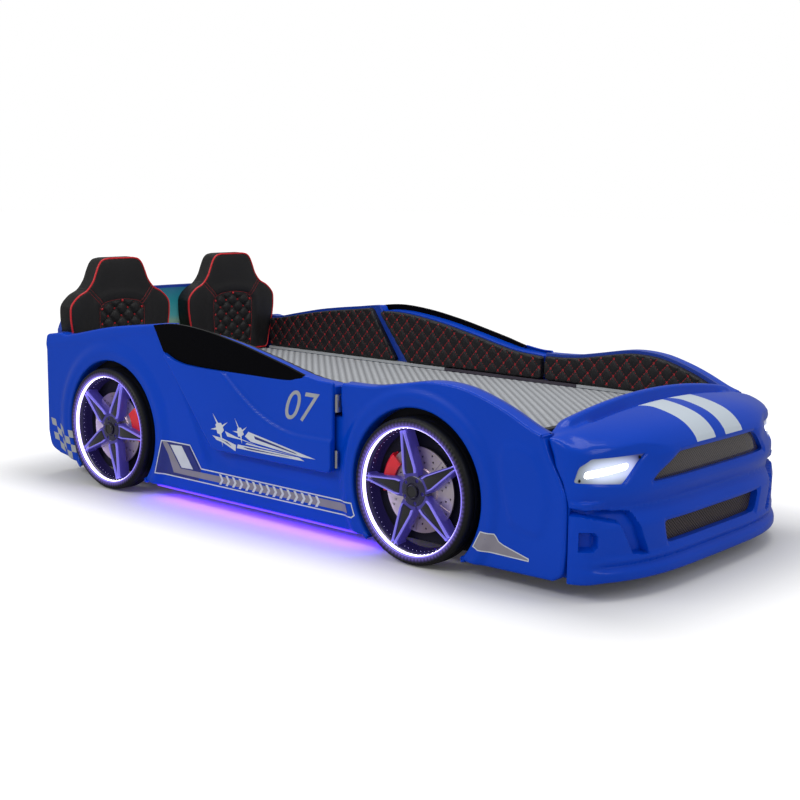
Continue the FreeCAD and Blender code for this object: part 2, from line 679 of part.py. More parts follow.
hinges = [lower_hinge(HINGE_LEVELS[0]), upper_hinge(HINGE_LEVELS[1])]
save("hinge_frame_leaves", *both_sides([fixed for fixed, swinging in hinges]))
save_pair("hinge_door_leaves", *[swinging for fixed, swinging in hinges])
save("hinge_pins", *both_sides([hinge_pin(level) for level in HINGE_LEVELS]))

calipers = []
caps = []
for end, wheel_x in WHEELS.items():
    for name, shape in (("tyre", tyre()), ("rim", rim(FIRST_SPOKE[end])), ("led_ring", led_ring()),
                        ("brake_disc", brake_disc(FIRST_SPOKE[end]))):
        save_pair(name + "_" + end, moved(shape, x=wheel_x, z=WHEEL_Z))
    calipers.append(moved(caliper(CALIPER_AT[end]), x=wheel_x, z=WHEEL_Z))
    caps.append(moved(hub_cap(), x=wheel_x, z=WHEEL_Z))
save("brake_calipers", *both_sides(calipers))
save("hub_caps", *both_sides(caps))

save("headboard", headboard())
save("headboard_print", slab(headboard_outline(9.0), HEADBOARD_FRONT, HEADBOARD_FRONT + 0.8))
save_pair("seat", moved(seat(), x=1.0))

nose_solids = {depth: nose_solid(depth) for depth in (0, 1, 4, 5, 9, 13, 14, 17)}
openings = [UPPER_GRILLE, LOWER_GRILLE, HEADLIGHT, [(-y, z) for y, z in HEADLIGHT]]
shell = nose_solids[0].cut(nose_solids[5])
save("front_shell", shell.cut([window_through(corners) for corners in openings]))
save("upper_grille", nose_layer(UPPER_GRILLE, 14, 17, 6.0))
save("lower_grille", nose_layer(LOWER_GRILLE, 14, 17, 6.0))
screws = headlight_screws(HEADLIGHT)
save_pair("headlight_lens", nose_layer(HEADLIGHT, 1, 4, -0.3).cut(screws))
led_bar = [(-332, 321), (-336, 305), (-448, 298), (-444, 314)]
save("headlight_leds", *both_sides([nose_layer(led_bar, 9, 13)]))
save("screws", *both_sides([screw.common(nose_solids[0]).cut(nose_solids[9]) for screw in screws]))
save("foot_board", block(MATTRESS_FOOT + 6, NOSE_REAR_X - 1, -INNER_Y, INNER_Y, BOARD_FOOT_Z, 392))

save("mattress", mattress())
save("slats", *slats())
save("side_rails", *both_sides([side_rail()]))
save("cross_members", *[block(x, x + CROSS, -RAIL_Y, RAIL_Y, RAIL_BASE, SLAT_BASE) for x in CROSS_X])
save("centre_beam", *centre_beam())
save("legs", *legs())
save("rail_bolts", *both_sides([rail_bolt(x) for x in BOLTS_X]))


def ledge(x_low, x_high):
    return block(x_low, x_high, -INNER_Y, -INNER_Y + LEDGE_REACH, LEDGE_TOP - LEDGE_THICK, LEDGE_TOP)


save("ledge_strips_light", *both_sides([ledge(-1012, -164), ledge(364, MATTRESS_FOOT)]))
save("ledge_strips_dark", *both_sides([ledge(-163, 363)]))
save("underglow_strips", *both_sides([block(-545, 285, -486, -474, SILL_Z - 6, SILL_Z)]))
save("control_box", control_box())
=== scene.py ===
import json
import math
from functools import partialmethod

import bpy
import numpy as np
from mathutils import Matrix, Vector
from mathutils.kdtree import KDTree


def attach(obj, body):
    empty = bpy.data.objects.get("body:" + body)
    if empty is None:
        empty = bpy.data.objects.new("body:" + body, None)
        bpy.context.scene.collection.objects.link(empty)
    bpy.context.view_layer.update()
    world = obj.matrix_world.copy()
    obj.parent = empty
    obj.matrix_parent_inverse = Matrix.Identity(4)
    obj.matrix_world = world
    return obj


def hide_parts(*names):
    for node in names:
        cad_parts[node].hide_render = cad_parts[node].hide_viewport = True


# The looks of the children's car bed. Shapes are drawn in millimetres and stood in place in
# metres. +X runs to the nose, -Y is the right side, +Z is up.

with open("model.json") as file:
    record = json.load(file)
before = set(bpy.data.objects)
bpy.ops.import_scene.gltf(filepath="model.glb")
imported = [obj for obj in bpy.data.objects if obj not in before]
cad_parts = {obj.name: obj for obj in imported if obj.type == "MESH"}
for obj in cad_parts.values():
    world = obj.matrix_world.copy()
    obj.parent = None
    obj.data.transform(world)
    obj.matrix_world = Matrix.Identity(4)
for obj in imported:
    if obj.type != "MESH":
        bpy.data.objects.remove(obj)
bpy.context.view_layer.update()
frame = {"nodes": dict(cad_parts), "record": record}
bpy.context.scene.view_settings.view_transform = "Standard"

MM = 0.001

# ---- sizes shared with the solids, in millimetres ------------------------------------------
REAR_X, NOSE_X = -1099.0, 1099.0
SIDE_Y = 495.0
SILL_Z = 47.0
DOOR_Y, CREASE_RISE, DOOR_BACK_Y = 520.0, 8.0, 500.0
DOOR_FOOT_Z = 198.0
DOORWAY_FRONT_X = 232.0
DOORWAY_REAR_TOP, DOORWAY_REAR_FOOT = (-480.0, 543.0), (-345.0, 352.0)
DOOR_EDGE_X = 219.5
WHEELS = {"front": 498.0, "rear": -751.0}
WHEEL_Z, ARCH_R = 193.0, 213.0
FLARE_RISE = 7.0
HALFWAY_X = -126.0
FIRST_SPOKE = {"front": 31.0, "rear": -4.0}
PAD_BASE_Z, PAD_THICK = 359.5, 20.0
SEAT_FRONT, SEAT_THICK, SEAT_CENTRE_Y = -1018.0, 58.0, 248.0


# ---- working by hand: picking, extruding, cutting ------------------------------------------
ALL = (bpy.ops.mesh.select_all, {"action": "SELECT"})
NONE = (bpy.ops.mesh.select_all, {"action": "DESELECT"})
OUTWARDS = (bpy.ops.mesh.normals_make_consistent, {"inside": False})
TURN_FACES = (bpy.ops.mesh.flip_normals, {})


def picked(piece):
    """Makes a piece the only selected one and the active one."""
    bpy.ops.object.select_all(action="DESELECT")
    piece.select_set(True)
    bpy.context.view_layer.objects.active = piece
    return piece


def edit(piece, *steps):
    """Runs edit-mode steps on a piece; a step is an operator and its settings."""
    picked(piece)
    bpy.ops.object.mode_set(mode="EDIT")
    for operator, settings in steps:
        operator(**settings)
    bpy.ops.object.mode_set(mode="OBJECT")
    return piece


def added(operator, **settings):
    """Adds a primitive with nothing else selected."""
    bpy.ops.object.select_all(action="DESELECT")
    operator(**settings)
    return bpy.context.object


def points_of(piece):
    flat = np.empty(len(piece.data.vertices) * 3)
    piece.data.vertices.foreach_get("co", flat)
    return flat.reshape(-1, 3)


def set_points(piece, points):
    piece.data.vertices.foreach_set("co", np.asarray(points, float).ravel())
    piece.data.update()


def apply(piece, kind, **settings):
    """Adds a modifier, sets it and applies it."""
    picked(piece)
    modifier = piece.modifiers.new(kind.lower(), kind)
    for key, value in settings.items():
        setattr(modifier, key, value)
    bpy.ops.object.modifier_apply(modifier=modifier.name)
    return piece


def cut(piece, tool, operation="DIFFERENCE", solver="MANIFOLD"):
    """Cuts a piece with a tool, or keeps what they share, and puts the tool away."""
    apply(piece, "BOOLEAN", object=tool, operation=operation, solver=solver)
    bpy.data.objects.remove(tool)
    return piece


def joined(first, *others):
    picked(first)
    for other in others:
        other.select_set(True)
    if others:
        bpy.ops.object.join()
    return first


def renamed(piece, name):
    piece.name = name
    piece.data.name = name
    return piece


def smoothed(piece, degrees=40.0):
    picked(piece)
    bpy.ops.object.shade_smooth_by_angle(angle=math.radians(degrees))
    return piece


def copied(piece, name):
    twin = piece.copy()
    twin.data = piece.data.copy()
    bpy.context.scene.collection.objects.link(twin)
    return renamed(twin, name)


def mirrored(piece, name):
    """The same piece on the car's other side."""
    twin = copied(piece, name)
    points = points_of(twin)
    points[:, 1] *= -1
    set_points(twin, points)
    return edit(twin, ALL, TURN_FACES)


# ---- outlines ------------------------------------------------------------------------------
def curve(points, step=6.0):
    """A smooth line through points, as closely spaced points."""
    path = np.array(points, float)
    ends = np.vstack([2 * path[0] - path[1], path, 2 * path[-1] - path[-2]])
    line = []
    for a, b, c, d in zip(ends, ends[1:], ends[2:], ends[3:]):
        count = max(int(np.linalg.norm(c - b) / step), 2)
        for t in np.arange(count) / count:
            line.append(0.5 * (2 * b + (c - a) * t + (2 * a - 5 * b + 4 * c - d) * t ** 2
                               + (3 * b - a - 3 * c + d) * t ** 3))
    return [tuple(point) for point in line] + [tuple(path[-1])]


def arc(x, z, radius, start, end, step=5.0):
    """Points on a circle between two angles in degrees."""
    count = max(int(abs(math.radians(end - start)) * radius / step), 3)
    angles = np.radians(np.linspace(start, end, count + 1))
    return [(x + radius * math.cos(angle), z + radius * math.sin(angle)) for angle in angles]


def spaced(loop, step=5.0):
    """A closed outline with no gap between its points longer than a step."""
    dense = []
    for here, there in zip(loop, loop[1:] + loop[:1]):
        gap = math.dist(here, there)
        if gap < 1e-6:
            continue
        count = max(math.ceil(gap / step), 1)
        for t in np.arange(count) / count:
            dense.append((here[0] + (there[0] - here[0]) * t, here[1] + (there[1] - here[1]) * t))
    return np.array(dense)


def drawn_in(loop, distance):
    """A dense closed outline moved inwards (or outwards, below zero)."""
    ahead = np.roll(loop, -1, 0) - loop
    ahead /= np.linalg.norm(ahead, axis=1)[:, None]
    behind = np.roll(ahead, 1, 0)
    area = np.sum(loop[:, 0] * np.roll(loop[:, 1], -1) - loop[:, 1] * np.roll(loop[:, 0], -1))
    side = math.copysign(1.0, area)
    normals = [np.stack([-edge[:, 1], edge[:, 0]], 1) * side for edge in (ahead, behind)]
    middle = normals[0] + normals[1]
    stretch = np.clip(np.sum(middle * middle, axis=1) / 2, 0.5, 2.0)
    return loop + middle * (distance / stretch)[:, None]


def nearest_on(loops, points):
    """The nearest place on any of the outlines to each point, and how far off it is."""
    best = np.full(len(points), 1e9)
    place = np.zeros((len(points), 2))
    for loop in loops:
        for start in range(0, len(points), 400):
            part = points[start:start + 400, None, :]
            base = loop[None]
            run = (np.roll(loop, -1, 0) - loop)[None]
            t = np.clip(np.sum((part - base) * run, 2) / np.sum(run * run, 2), 0, 1)
            foot = base + run * t[..., None]
            gap = np.linalg.norm(part - foot, axis=2)
            index = gap.argmin(1)
            rows = np.arange(len(index))
            closer = gap[rows, index] < best[start:start + 400]
            chosen = np.flatnonzero(closer) + start
            best[chosen] = gap[rows, index][closer]
            place[chosen] = foot[rows, index][closer]
    return place, best


def thinned(loop, gap):
    """A line without the points that lie closer than a gap to the one before."""
    kept = [loop[0]]
    for point in loop[1:]:
        if math.dist(point, kept[-1]) > gap:
            kept.append(point)
    return kept


def away_from(path, u, v):
    """Distance from points to an open line, and on which side of it they are."""
    points = np.stack([u, v], 1)
    best = np.full(len(points), 1e9)
    side = np.ones(len(points))
    for a, b in zip(path, path[1:]):
        a, b = np.array(a, float), np.array(b, float)
        run = b - a
        t = np.clip((points - a) @ run / (run @ run), 0, 1)
        off = points - (a + run * t[:, None])
        gap = np.linalg.norm(off, axis=1)
        closer = gap < best
        best[closer] = gap[closer]
        side[closer] = np.sign(run[0] * off[closer, 1] - run[1] * off[closer, 0])
    return best, side


def within(loop, u, v):
    """Whether points lie inside a closed outline."""
    inside = np.zeros(len(u), bool)
    for (a, b), (c, d) in zip(loop, np.roll(loop, -1, 0)):
        inside ^= ((b > v) != (d > v)) & (u < (c - a) * (v - b) / ((d - b) or 1e-9) + a)
    return inside


def ringed(loop, width):
    """The outline drawn in by a width, or grown by one below zero."""
    return [tuple(point) for point in drawn_in(spaced(loop, 6.0), width)]


def ramp(value, low, high):
    """0 below low, 1 above high, and a smooth rise between."""
    t = np.clip((value - low) / (high - low), 0, 1)
    return t * t * (3 - 2 * t)


# ---- solids from outlines ------------------------------------------------------------------
BLOCK_DEPTH, TOOL_REACH, ROLL_STEPS = 20.0, 30.0, 5


def lengthened(rise):
    """The edit step that extrudes what is picked up by a rise."""
    return bpy.ops.mesh.extrude_region_move, {"TRANSFORM_OT_translate": {"value": (0, 0, rise)}}


def prism(loop, low, high, name="prism"):
    """A closed solid of an outline in XY between two heights."""
    piece = renamed(added(bpy.ops.mesh.primitive_circle_add, vertices=len(loop), fill_type="NGON"), name)
    set_points(piece, [(u, v, low) for u, v in loop])
    return edit(piece, ALL, lengthened(high - low), ALL, OUTWARDS)


def grid_block(low, high, cell):
    """A thin block whose top, at height 0, is a grid of small squares."""
    size = np.array(high) - np.array(low)
    counts = [max(int(length / cell), 1) for length in size]
    piece = added(bpy.ops.mesh.primitive_grid_add, x_subdivisions=counts[0], y_subdivisions=counts[1],
                  size=2)
    points = points_of(piece)
    points[:, :2] = np.array(low) + (points[:, :2] + 1) / 2 * size
    points[:, 2] = -BLOCK_DEPTH
    set_points(piece, points)
    return edit(piece, ALL, lengthened(BLOCK_DEPTH), ALL, OUTWARDS)


def keep_faces(piece, wanted):
    """Deletes every face that isn't wanted."""
    edit(piece, (bpy.ops.mesh.select_mode, {"type": "FACE"}), NONE)
    piece.data.polygons.foreach_set("select", ~np.array(wanted))
    return edit(piece, (bpy.ops.mesh.delete, {"type": "FACE"}),
                (bpy.ops.mesh.select_mode, {"type": "VERT"}))


def keep_top(piece):
    """Keeps only the flat top of a trimmed block, facing up."""
    top = [abs(polygon.normal[2]) > 0.9 and polygon.center[2] > -1 for polygon in piece.data.polygons]
    keep_faces(piece, top)
    if sum(polygon.area * polygon.normal[2] for polygon in piece.data.polygons) < 0:
        edit(piece, ALL, TURN_FACES)


def grow_rim(piece, place):
    """Extrudes every open edge and puts the new points where place says."""
    edit(piece, (bpy.ops.mesh.select_mode, {"type": "EDGE"}), NONE,
         (bpy.ops.mesh.select_non_manifold, {"use_wire": False, "use_multi_face": False,
                                             "use_non_contiguous": False, "use_verts": False}),
         (bpy.ops.mesh.extrude_edges_move, {"TRANSFORM_OT_translate": {"value": (0, 0, 0)}}))
    chosen = np.zeros(len(piece.data.vertices), bool)
    piece.data.vertices.foreach_get("select", chosen)
    points = points_of(piece)
    points[chosen] = place(points[chosen])
    set_points(piece, points)


def moulded(name, outer, holes=(), edge=7.0, depth=30.0, cell=6.0, relief=None, back="open",
            walls=()):
    """A moulding drawn flat: a face of small squares trimmed to its outline, edges rolled over
    in quarter-round steps and walls down to a depth. relief(u, v) raises the face. The back is
    "open", "shut" with one face, or a wall thickness. walls are depths on the way down and how
    far the wall swells out there."""
    outer = spaced(outer)
    holes = [spaced(hole) for hole in holes]
    low, high = outer.min(0) - 1, outer.max(0) + 1
    piece = renamed(grid_block(low, high, cell), name)
    cut(piece, prism(drawn_in(outer, edge), -TOOL_REACH, TOOL_REACH), "INTERSECT")
    for hole in holes:
        cut(piece, prism(drawn_in(hole, -edge), -TOOL_REACH, TOOL_REACH))
    keep_top(piece)
    rims = [outer] + holes
    foot = {}

    def rolled(angle):
        def place(points):
            flat = points[:, :2]
            if "base" not in foot:
                foot["base"] = flat.copy()
                foot["edge"] = nearest_on(rims, flat)[0]
            target = foot["base"] + (foot["edge"] - foot["base"]) * math.sin(angle)
            return np.column_stack([target, np.full(len(flat), -edge * (1 - math.cos(angle)))])
        return place

    for index in range(1, ROLL_STEPS + 1):
        grow_rim(piece, lambda points: in_order(points, foot, rolled(math.pi / 2 * index / ROLL_STEPS)))
    face = points_of(piece)[:, 2] > -edge - 0.01

    def swollen(drop, swell):
        def place(points):
            out = foot["edge"] - foot["base"]
            out /= np.maximum(np.linalg.norm(out, axis=1), 0.1)[:, None]
            return np.column_stack([foot["edge"] + out * swell, np.full(len(out), -drop)])
        return place

    for drop, swell in list(walls) + [(depth, 0.0)]:
        grow_rim(piece, lambda points: in_order(points, foot, swollen(drop, swell)))
    if relief is not None:
        points = points_of(piece)
        lifted = points[:len(face)]
        lifted[:, 2] += np.where(face, relief(lifted[:, 0], lifted[:, 1]), 0.0)
        set_points(piece, points)
    if back == "shut":
        edit(piece, ALL, (bpy.ops.mesh.fill_holes, {"sides": 0}))
    elif back != "open":
        apply(piece, "SOLIDIFY", thickness=back, offset=-1.0)
    return piece


def in_order(points, foot, place):
    """Places a new rim by the points of the one before it, whose base places are kept in foot."""
    if "last" in foot:
        index = matched(foot["last"], points)
        foot["base"], foot["edge"] = foot["base"][index], foot["edge"][index]
    foot["last"] = place(points)
    return foot["last"].copy()


def matched(known, points):
    """For each point, which of the known ones it is."""
    tree = KDTree(len(known))
    for index, point in enumerate(known):
        tree.insert(point, index)
    tree.balance()
    return np.array([tree.find(point)[1] for point in points])


def stood(piece, across, up, out, base):
    """Stands a flat piece in place: its X, Y and Z go along the given axes, Z from base, in
    metres."""
    axes = np.array([across, up, out], float)
    points = points_of(piece) @ axes + np.array(out, float) * base
    set_points(piece, points * MM)
    if np.linalg.det(axes) < 0:
        edit(piece, ALL, TURN_FACES)
    return piece


def outside_right(piece, base):
    """A flat piece on the outside of the car's right side; base is its distance from the middle."""
    return stood(piece, (1, 0, 0), (0, 0, 1), (0, -1, 0), base)


def inside_right(piece, base):
    """A flat piece on the inside of the right side, facing the bed."""
    return stood(piece, (1, 0, 0), (0, 0, 1), (0, 1, 0), -base)

# ---- finishes ------------------------------------------------------------------------------
class Value:
    """A shader value that Python's operators work on; each one adds its Math node."""

    def __init__(self, nodes, socket):
        self.nodes = nodes
        self.socket = socket

    def math(self, operation, *others):
        return self.nodes.node("ShaderNodeMath", {"operation": operation},
                               dict(enumerate((self,) + others)))

    def __rsub__(self, other):
        return self.nodes.node("ShaderNodeMath", {"operation": "SUBTRACT"}, {0: other, 1: self})

    def eased(self, low, high):
        """0 at low, 1 at high, smooth between."""
        return self.nodes.node("ShaderNodeMapRange", {"interpolation_type": "SMOOTHSTEP"},
                               {"Value": self, "From Min": low, "From Max": high})


for method, operation in {"__add__": "ADD", "__radd__": "ADD", "__sub__": "SUBTRACT", "__mul__": "MULTIPLY",
                          "__rmul__": "MULTIPLY", "__truediv__": "DIVIDE", "__gt__": "GREATER_THAN",
                          "__lt__": "LESS_THAN", "__abs__": "ABSOLUTE", "sine": "SINE",
                          "fraction": "FRACT", "root": "SQRT", "most": "MAXIMUM"}.items():
    setattr(Value, method, partialmethod(Value.math, operation))


class Nodes:
    """A node tree that is filled by code."""

    def __init__(self, tree):
        self.tree = tree

    def node(self, kind, settings=None, values=None, output=0):
        """Adds a node, sets it, links or fills its inputs and hands back one output."""
        made = self.tree.nodes.new(kind)
        for key, setting in (settings or {}).items():
            setattr(made, key, setting)
        for key, value in (values or {}).items():
            if isinstance(value, Value):
                self.tree.links.new(value.socket, made.inputs[key])
            else:
                made.inputs[key].default_value = value
        return Value(self, made.outputs[output])

    def where(self):
        return self.node("ShaderNodeTexCoord", output="Object")

    def by_ray(self, *levels):
        """A grey level by kind of ray: one for each kind of RAYS, and the last for all others."""
        paths = self.node("ShaderNodeLightPath").socket.node.outputs
        total = levels[-1]
        for kind, level in reversed(list(zip(RAYS, levels))):
            total = self.node("ShaderNodeMix", {}, {"Factor": Value(self, paths[kind]), "A": total,
                                                    "B": level}, output="Result")
        return total


class Finish(Nodes):
    """A material: one glossy shader and the nodes that feed it. Places are in millimetres."""

    def __init__(self, name, colour, roughness, metallic=0.0, coat=0.0, coat_roughness=0.05,
                 sheen=0.0, specular=0.5, glow=None, strength=0.0):
        self.material = bpy.data.materials.new(name)
        self.material.use_nodes = True
        super().__init__(self.material.node_tree)
        self.shader = self.tree.nodes["Principled BSDF"]
        fixed = {"Base Color": (*colour, 1), "Roughness": roughness, "Metallic": metallic,
                 "Coat Weight": coat, "Coat Roughness": coat_roughness, "Sheen Weight": sheen,
                 "Specular IOR Level": specular}
        if glow:
            fixed |= {"Emission Color": (*glow, 1), "Emission Strength": strength}
        for key, value in fixed.items():
            self.shader.inputs[key].default_value = value
        FINISHES[name] = self

    def place(self):
        """X, Y and Z on the object, in millimetres."""
        outputs = self.node("ShaderNodeSeparateXYZ", values={0: self.where()}).socket.node.outputs
        return [Value(self, outputs[axis]) * 1000.0 for axis in range(3)]

    def noise(self, scale, detail=3.0, roughness=0.5, stretch=(1, 1, 1)):
        spread = self.node("ShaderNodeMapping", values={"Vector": self.where(), "Scale": stretch})
        return self.node("ShaderNodeTexNoise", values={"Vector": spread, "Scale": scale,
                                                       "Detail": detail, "Roughness": roughness})

    def ramped(self, value, *stops):
        made = self.node("ShaderNodeValToRGB", values={0: value})
        ends = made.socket.node.color_ramp.elements
        while len(ends) < len(stops):
            ends.new(0.5)
        for stop, (where, colour) in zip(ends, stops):
            stop.position = where
            stop.color = (*colour, 1)
        return made

    def mixed(self, factor, first, second):
        """One colour turning into another; a colour is three numbers or a value."""
        pair = [end if isinstance(end, Value) else (*end, 1) for end in (first, second)]
        return self.node("ShaderNodeMix", {"data_type": "RGBA"},
                         {0: factor, 6: pair[0], 7: pair[1]}, output=2)

    def feed(self, socket, value):
        self.tree.links.new(value.socket, self.shader.inputs[socket])
        return self

    def bump(self, height, depth, strength=1.0):
        """Raises the surface by a height value; depth is the relief of a full step, in mm."""
        return self.feed("Normal", self.node("ShaderNodeBump", values={
            "Height": height, "Distance": depth * MM, "Strength": strength}))

    def clouded(self, cloud, dark, light, colour):
        """The colour, wandering between a darker and a lighter one."""
        return self.mixed(cloud, [dark * part for part in colour], [light * part for part in colour])

    def speckled(self, scale, low, high):
        """Roughness that wanders a little over the surface."""
        return self.feed("Roughness", self.noise(scale, 4.0).math("MULTIPLY_ADD", high - low, low))


FINISHES = {}
RAYS = ["Is Camera Ray", "Is Glossy Ray", "Is Transmission Ray"]
BLUE = (0.0, 0.053, 0.52)
MATTRESS_PITCH = 30.0


def moulded_plastic(name, colour, stripes=False):
    """Deep gloss vacuum-formed plastic with a faint ripple from the mould."""
    made = Finish(name, colour, 0.32, coat=0.13, coat_roughness=0.06, specular=0.13)
    shade = made.clouded(made.noise(3.0, 2.0), 0.86, 1.08, colour)
    if stripes:
        x, y, z = made.place()
        flare = ((960.0 - x) / 46.0).most(0.0).math("POWER", 2.0) * 44.0
        near = ((y + flare) > -117.0) * (y < -26.0)
        far = ((y + flare) > 26.0) * (y < 117.0)
        mask = near.most(far) * (x > 915.0) * (z > 349.0)
        shade = made.mixed(mask, shade, (0.55, 0.62, 0.70))
    made.feed("Base Color", shade)
    made.speckled(6.0, 0.26, 0.38)
    ripple = made.noise(9.0, 2.0) * 0.8 + made.noise(420.0, 2.0) * 0.05
    return made.bump(ripple, 1.6, 0.35)


def painted_board(name, colour):
    made = Finish(name, colour, 0.4, coat=0.3)
    made.feed("Base Color", made.clouded(made.noise(4.0), 0.85, 1.0, colour))
    return made.bump(made.noise(260.0, 3.0), 0.2, 0.3)


def leather(name, colour, roughness, shade_painted_behind=None):
    """Soft imitation leather with a pebbled grain; behind a given depth its colour is darkened as painted
    shade.
    """
    made = Finish(name, colour, roughness, specular=0.35, sheen=0.02)
    cells = made.node("ShaderNodeTexVoronoi", {"feature": "DISTANCE_TO_EDGE"},
                      {"Vector": made.where(), "Scale": 620.0})
    grain = cells.eased(0.0, 0.35)
    cloud = made.noise(14.0, 4.0)
    shade = made.clouded(cloud, 0.72, 1.35, colour)
    # painted shade: the seat's boxing, behind its front face, is darkened to a third of the leather's
    # colour
    if shade_painted_behind is not None:
        shade = made.mixed(made.place()[0] < shade_painted_behind, shade, [0.3 * part for part in colour])
    made.feed("Base Color", shade)
    made.feed("Roughness", (cloud * 0.16 + (roughness - 0.08)) - grain * 0.06)
    return made.bump(grain + made.noise(60.0, 3.0) * 0.5, 0.35, 0.55)


def plain(name, colour, roughness, metallic=0.0, **settings):
    """A plain hard finish with a little variation in tone, gloss and surface."""
    made = Finish(name, colour, roughness, metallic, strength=1.0, **settings)
    made.feed("Base Color", made.clouded(made.noise(24.0, 4.0), 0.82, 1.12, colour))
    made.speckled(40.0, roughness * 0.85, min(roughness * 1.2, 1.0))
    return made.bump(made.noise(180.0, 3.0), 0.08, 0.5)


def wood(name):
    """Pale wood with its grain across the bed."""
    made = Finish(name, (0.55, 0.38, 0.22), 0.55)
    rings = made.noise(30.0, 6.0, 0.6, (1.0, 0.06, 1.0))
    made.feed("Base Color", made.ramped(rings, (0.3, (0.40, 0.25, 0.13)), (0.7, (0.66, 0.48, 0.30))))
    return made.bump(rings, 0.4, 0.5)


def mesh_grille(name, pitch, shine):
    """A fine diamond mesh: lighter strands, with painted shade for the holes between them."""
    made = Finish(name, (0.02, 0.015, 0.015), 0.4, coat=shine, coat_roughness=0.04)
    x, y, z = made.place()
    first = abs(((y + z * 1.25) / pitch).fraction() - 0.5)
    second = abs(((y - z * 1.25) / pitch).fraction() - 0.5)
    strand = first.most(second).eased(0.30, 0.44)
    # painted shade: the holes between the strands are dark colour on a solid sheet
    made.feed("Base Color", made.mixed(strand, (0.012, 0.009, 0.010), (0.105, 0.075, 0.068)))
    made.feed("Roughness", 0.75 - strand * 0.3)
    return made.bump(strand, 1.5, 1.0)


def printed_field(name):
    """A plain field that runs from teal down to green, with soft hills."""
    made = Finish(name, (0.1, 0.4, 0.4), 0.35, coat=0.4)
    x, y, z = made.place()
    hills = made.noise(5.0, 3.0, 0.4, (1.0, 1.0, 0.2)) * 90.0
    height = (z + hills - 380.0) / 260.0
    made.feed("Base Color", made.ramped(height, (0.05, (0.03, 0.10, 0.04)), (0.38, (0.10, 0.24, 0.10)),
                                        (0.52, (0.30, 0.52, 0.40)), (0.60, (0.10, 0.48, 0.52)),
                                        (0.80, (0.03, 0.33, 0.40)), (1.0, (0.02, 0.16, 0.30))))
    return made


def frosted_lamp(name):
    """A pale cover lit from behind by its light bar, bluer towards the grille."""
    made = Finish(name, (0.34, 0.38, 0.42), 0.15, coat=0.5, strength=1.0, glow=(1, 1, 1))
    x, y, z = made.place()
    along = (abs(y) - 390.0) / 58.0
    level = 309.0 - 4.0 * along
    away = ((z - level) / 20.0).math("POWER", 2.0) + along.math("POWER", 4.0)
    haze = (1.0 - away.root().eased(0.5, 2.1)).math("POWER", 1.6)
    inner = 1.0 - abs(y).eased(330.0, 400.0)
    made.feed("Base Color", made.mixed(inner, (0.36, 0.41, 0.44), (0.06, 0.07, 0.26)))
    made.feed("Emission Color", made.mixed(haze, (0.01, 0.012, 0.03), (0.50, 0.55, 0.80)))
    return made


def mattress_cloth(name):
    """Silvery cover cloth, quilted in small diamonds, with painted shade: dark in the grooves and in short
    crosswise dashes, light on the puffs.
    """
    made = Finish(name, (0.50, 0.52, 0.56), 0.8, sheen=0.3)
    x, y, z = made.place()
    rib = abs(((x + y) * (math.pi / MATTRESS_PITCH)).sine())
    row = (x + y) / MATTRESS_PITCH
    brick = (row - row.fraction()) * (MATTRESS_PITCH / 4.0)
    dash = abs(((x - y + brick) / (MATTRESS_PITCH / 2.0)).fraction() - 0.5).eased(0.36, 0.47)
    dash = dash * rib.eased(0.15, 0.6)
    # painted shade and light: the tone is darkest in the grooves and dashes and lightest on the puff tops
    tone = rib * 0.62 - dash * 0.5 + made.noise(900.0, 2.0) * 0.16 + 0.16
    made.feed("Base Color", made.ramped(tone, (0.0, (0.055, 0.058, 0.070)), (0.35, (0.16, 0.17, 0.19)),
                                        (0.8, (0.38, 0.40, 0.43)), (1.0, (0.47, 0.49, 0.52))))
    return made.bump(rib - dash * 0.5 + made.noise(1500.0, 2.0) * 0.15, 2.2, 0.7)


def on_wheel(made):
    """Radius and angle round the nearer wheel's middle."""
    x, y, z = made.place()
    across = x - ((x > HALFWAY_X) * (WHEELS["front"] - WHEELS["rear"]) + WHEELS["rear"])
    up = z - WHEEL_Z
    return (across * across + up * up).root(), up.math("ARCTAN2", across)


def rubber(name):
    """Matt tyre rubber with fine ribs that run outwards on the wall, and a painted violet glow of the LED
    ring on the wall next to it.
    """
    made = Finish(name, (0.006, 0.006, 0.007), 0.46, specular=0.35)
    radius, angle = on_wheel(made)
    ribs = (angle * 96.0).sine() * radius.eased(170.0, 173.0) * (1.0 - radius.eased(183.0, 186.0))
    made.speckled(60.0, 0.38, 0.58)
    # painted light: the wall nearest the LED ring glows violet, more on its ribs
    painted_led_glow = 1.0 - radius.eased(168.0, 182.0)
    made.shader.inputs["Emission Strength"].default_value = 1.0
    made.feed("Emission Color", made.mixed(painted_led_glow * (ribs * 0.3 + 0.7), (0, 0, 0), (0.16, 0.11, 0.50)))
    return made.bump(ribs + made.noise(500.0, 3.0) * 0.2, 0.5, 0.8)


def brushed_disc(name):
    """Machined metal with fine circular marks, and two fans of painted highlight in its colour."""
    made = Finish(name, (0.60, 0.50, 0.54), 0.34, 1.0)
    radius, angle = on_wheel(made)
    # painted highlight: the colour lightens in two fans round the disc
    fans = (angle * 2.0 + 0.9).sine() * 0.5 + 0.5
    rings = (radius * 5.2).sine()
    made.feed("Base Color", made.mixed(fans, (0.42, 0.33, 0.38), (0.86, 0.76, 0.80)))
    made.feed("Roughness", rings * 0.05 + 0.34)
    return made.bump(rings + made.noise(400.0, 2.0), 0.05, 0.6)


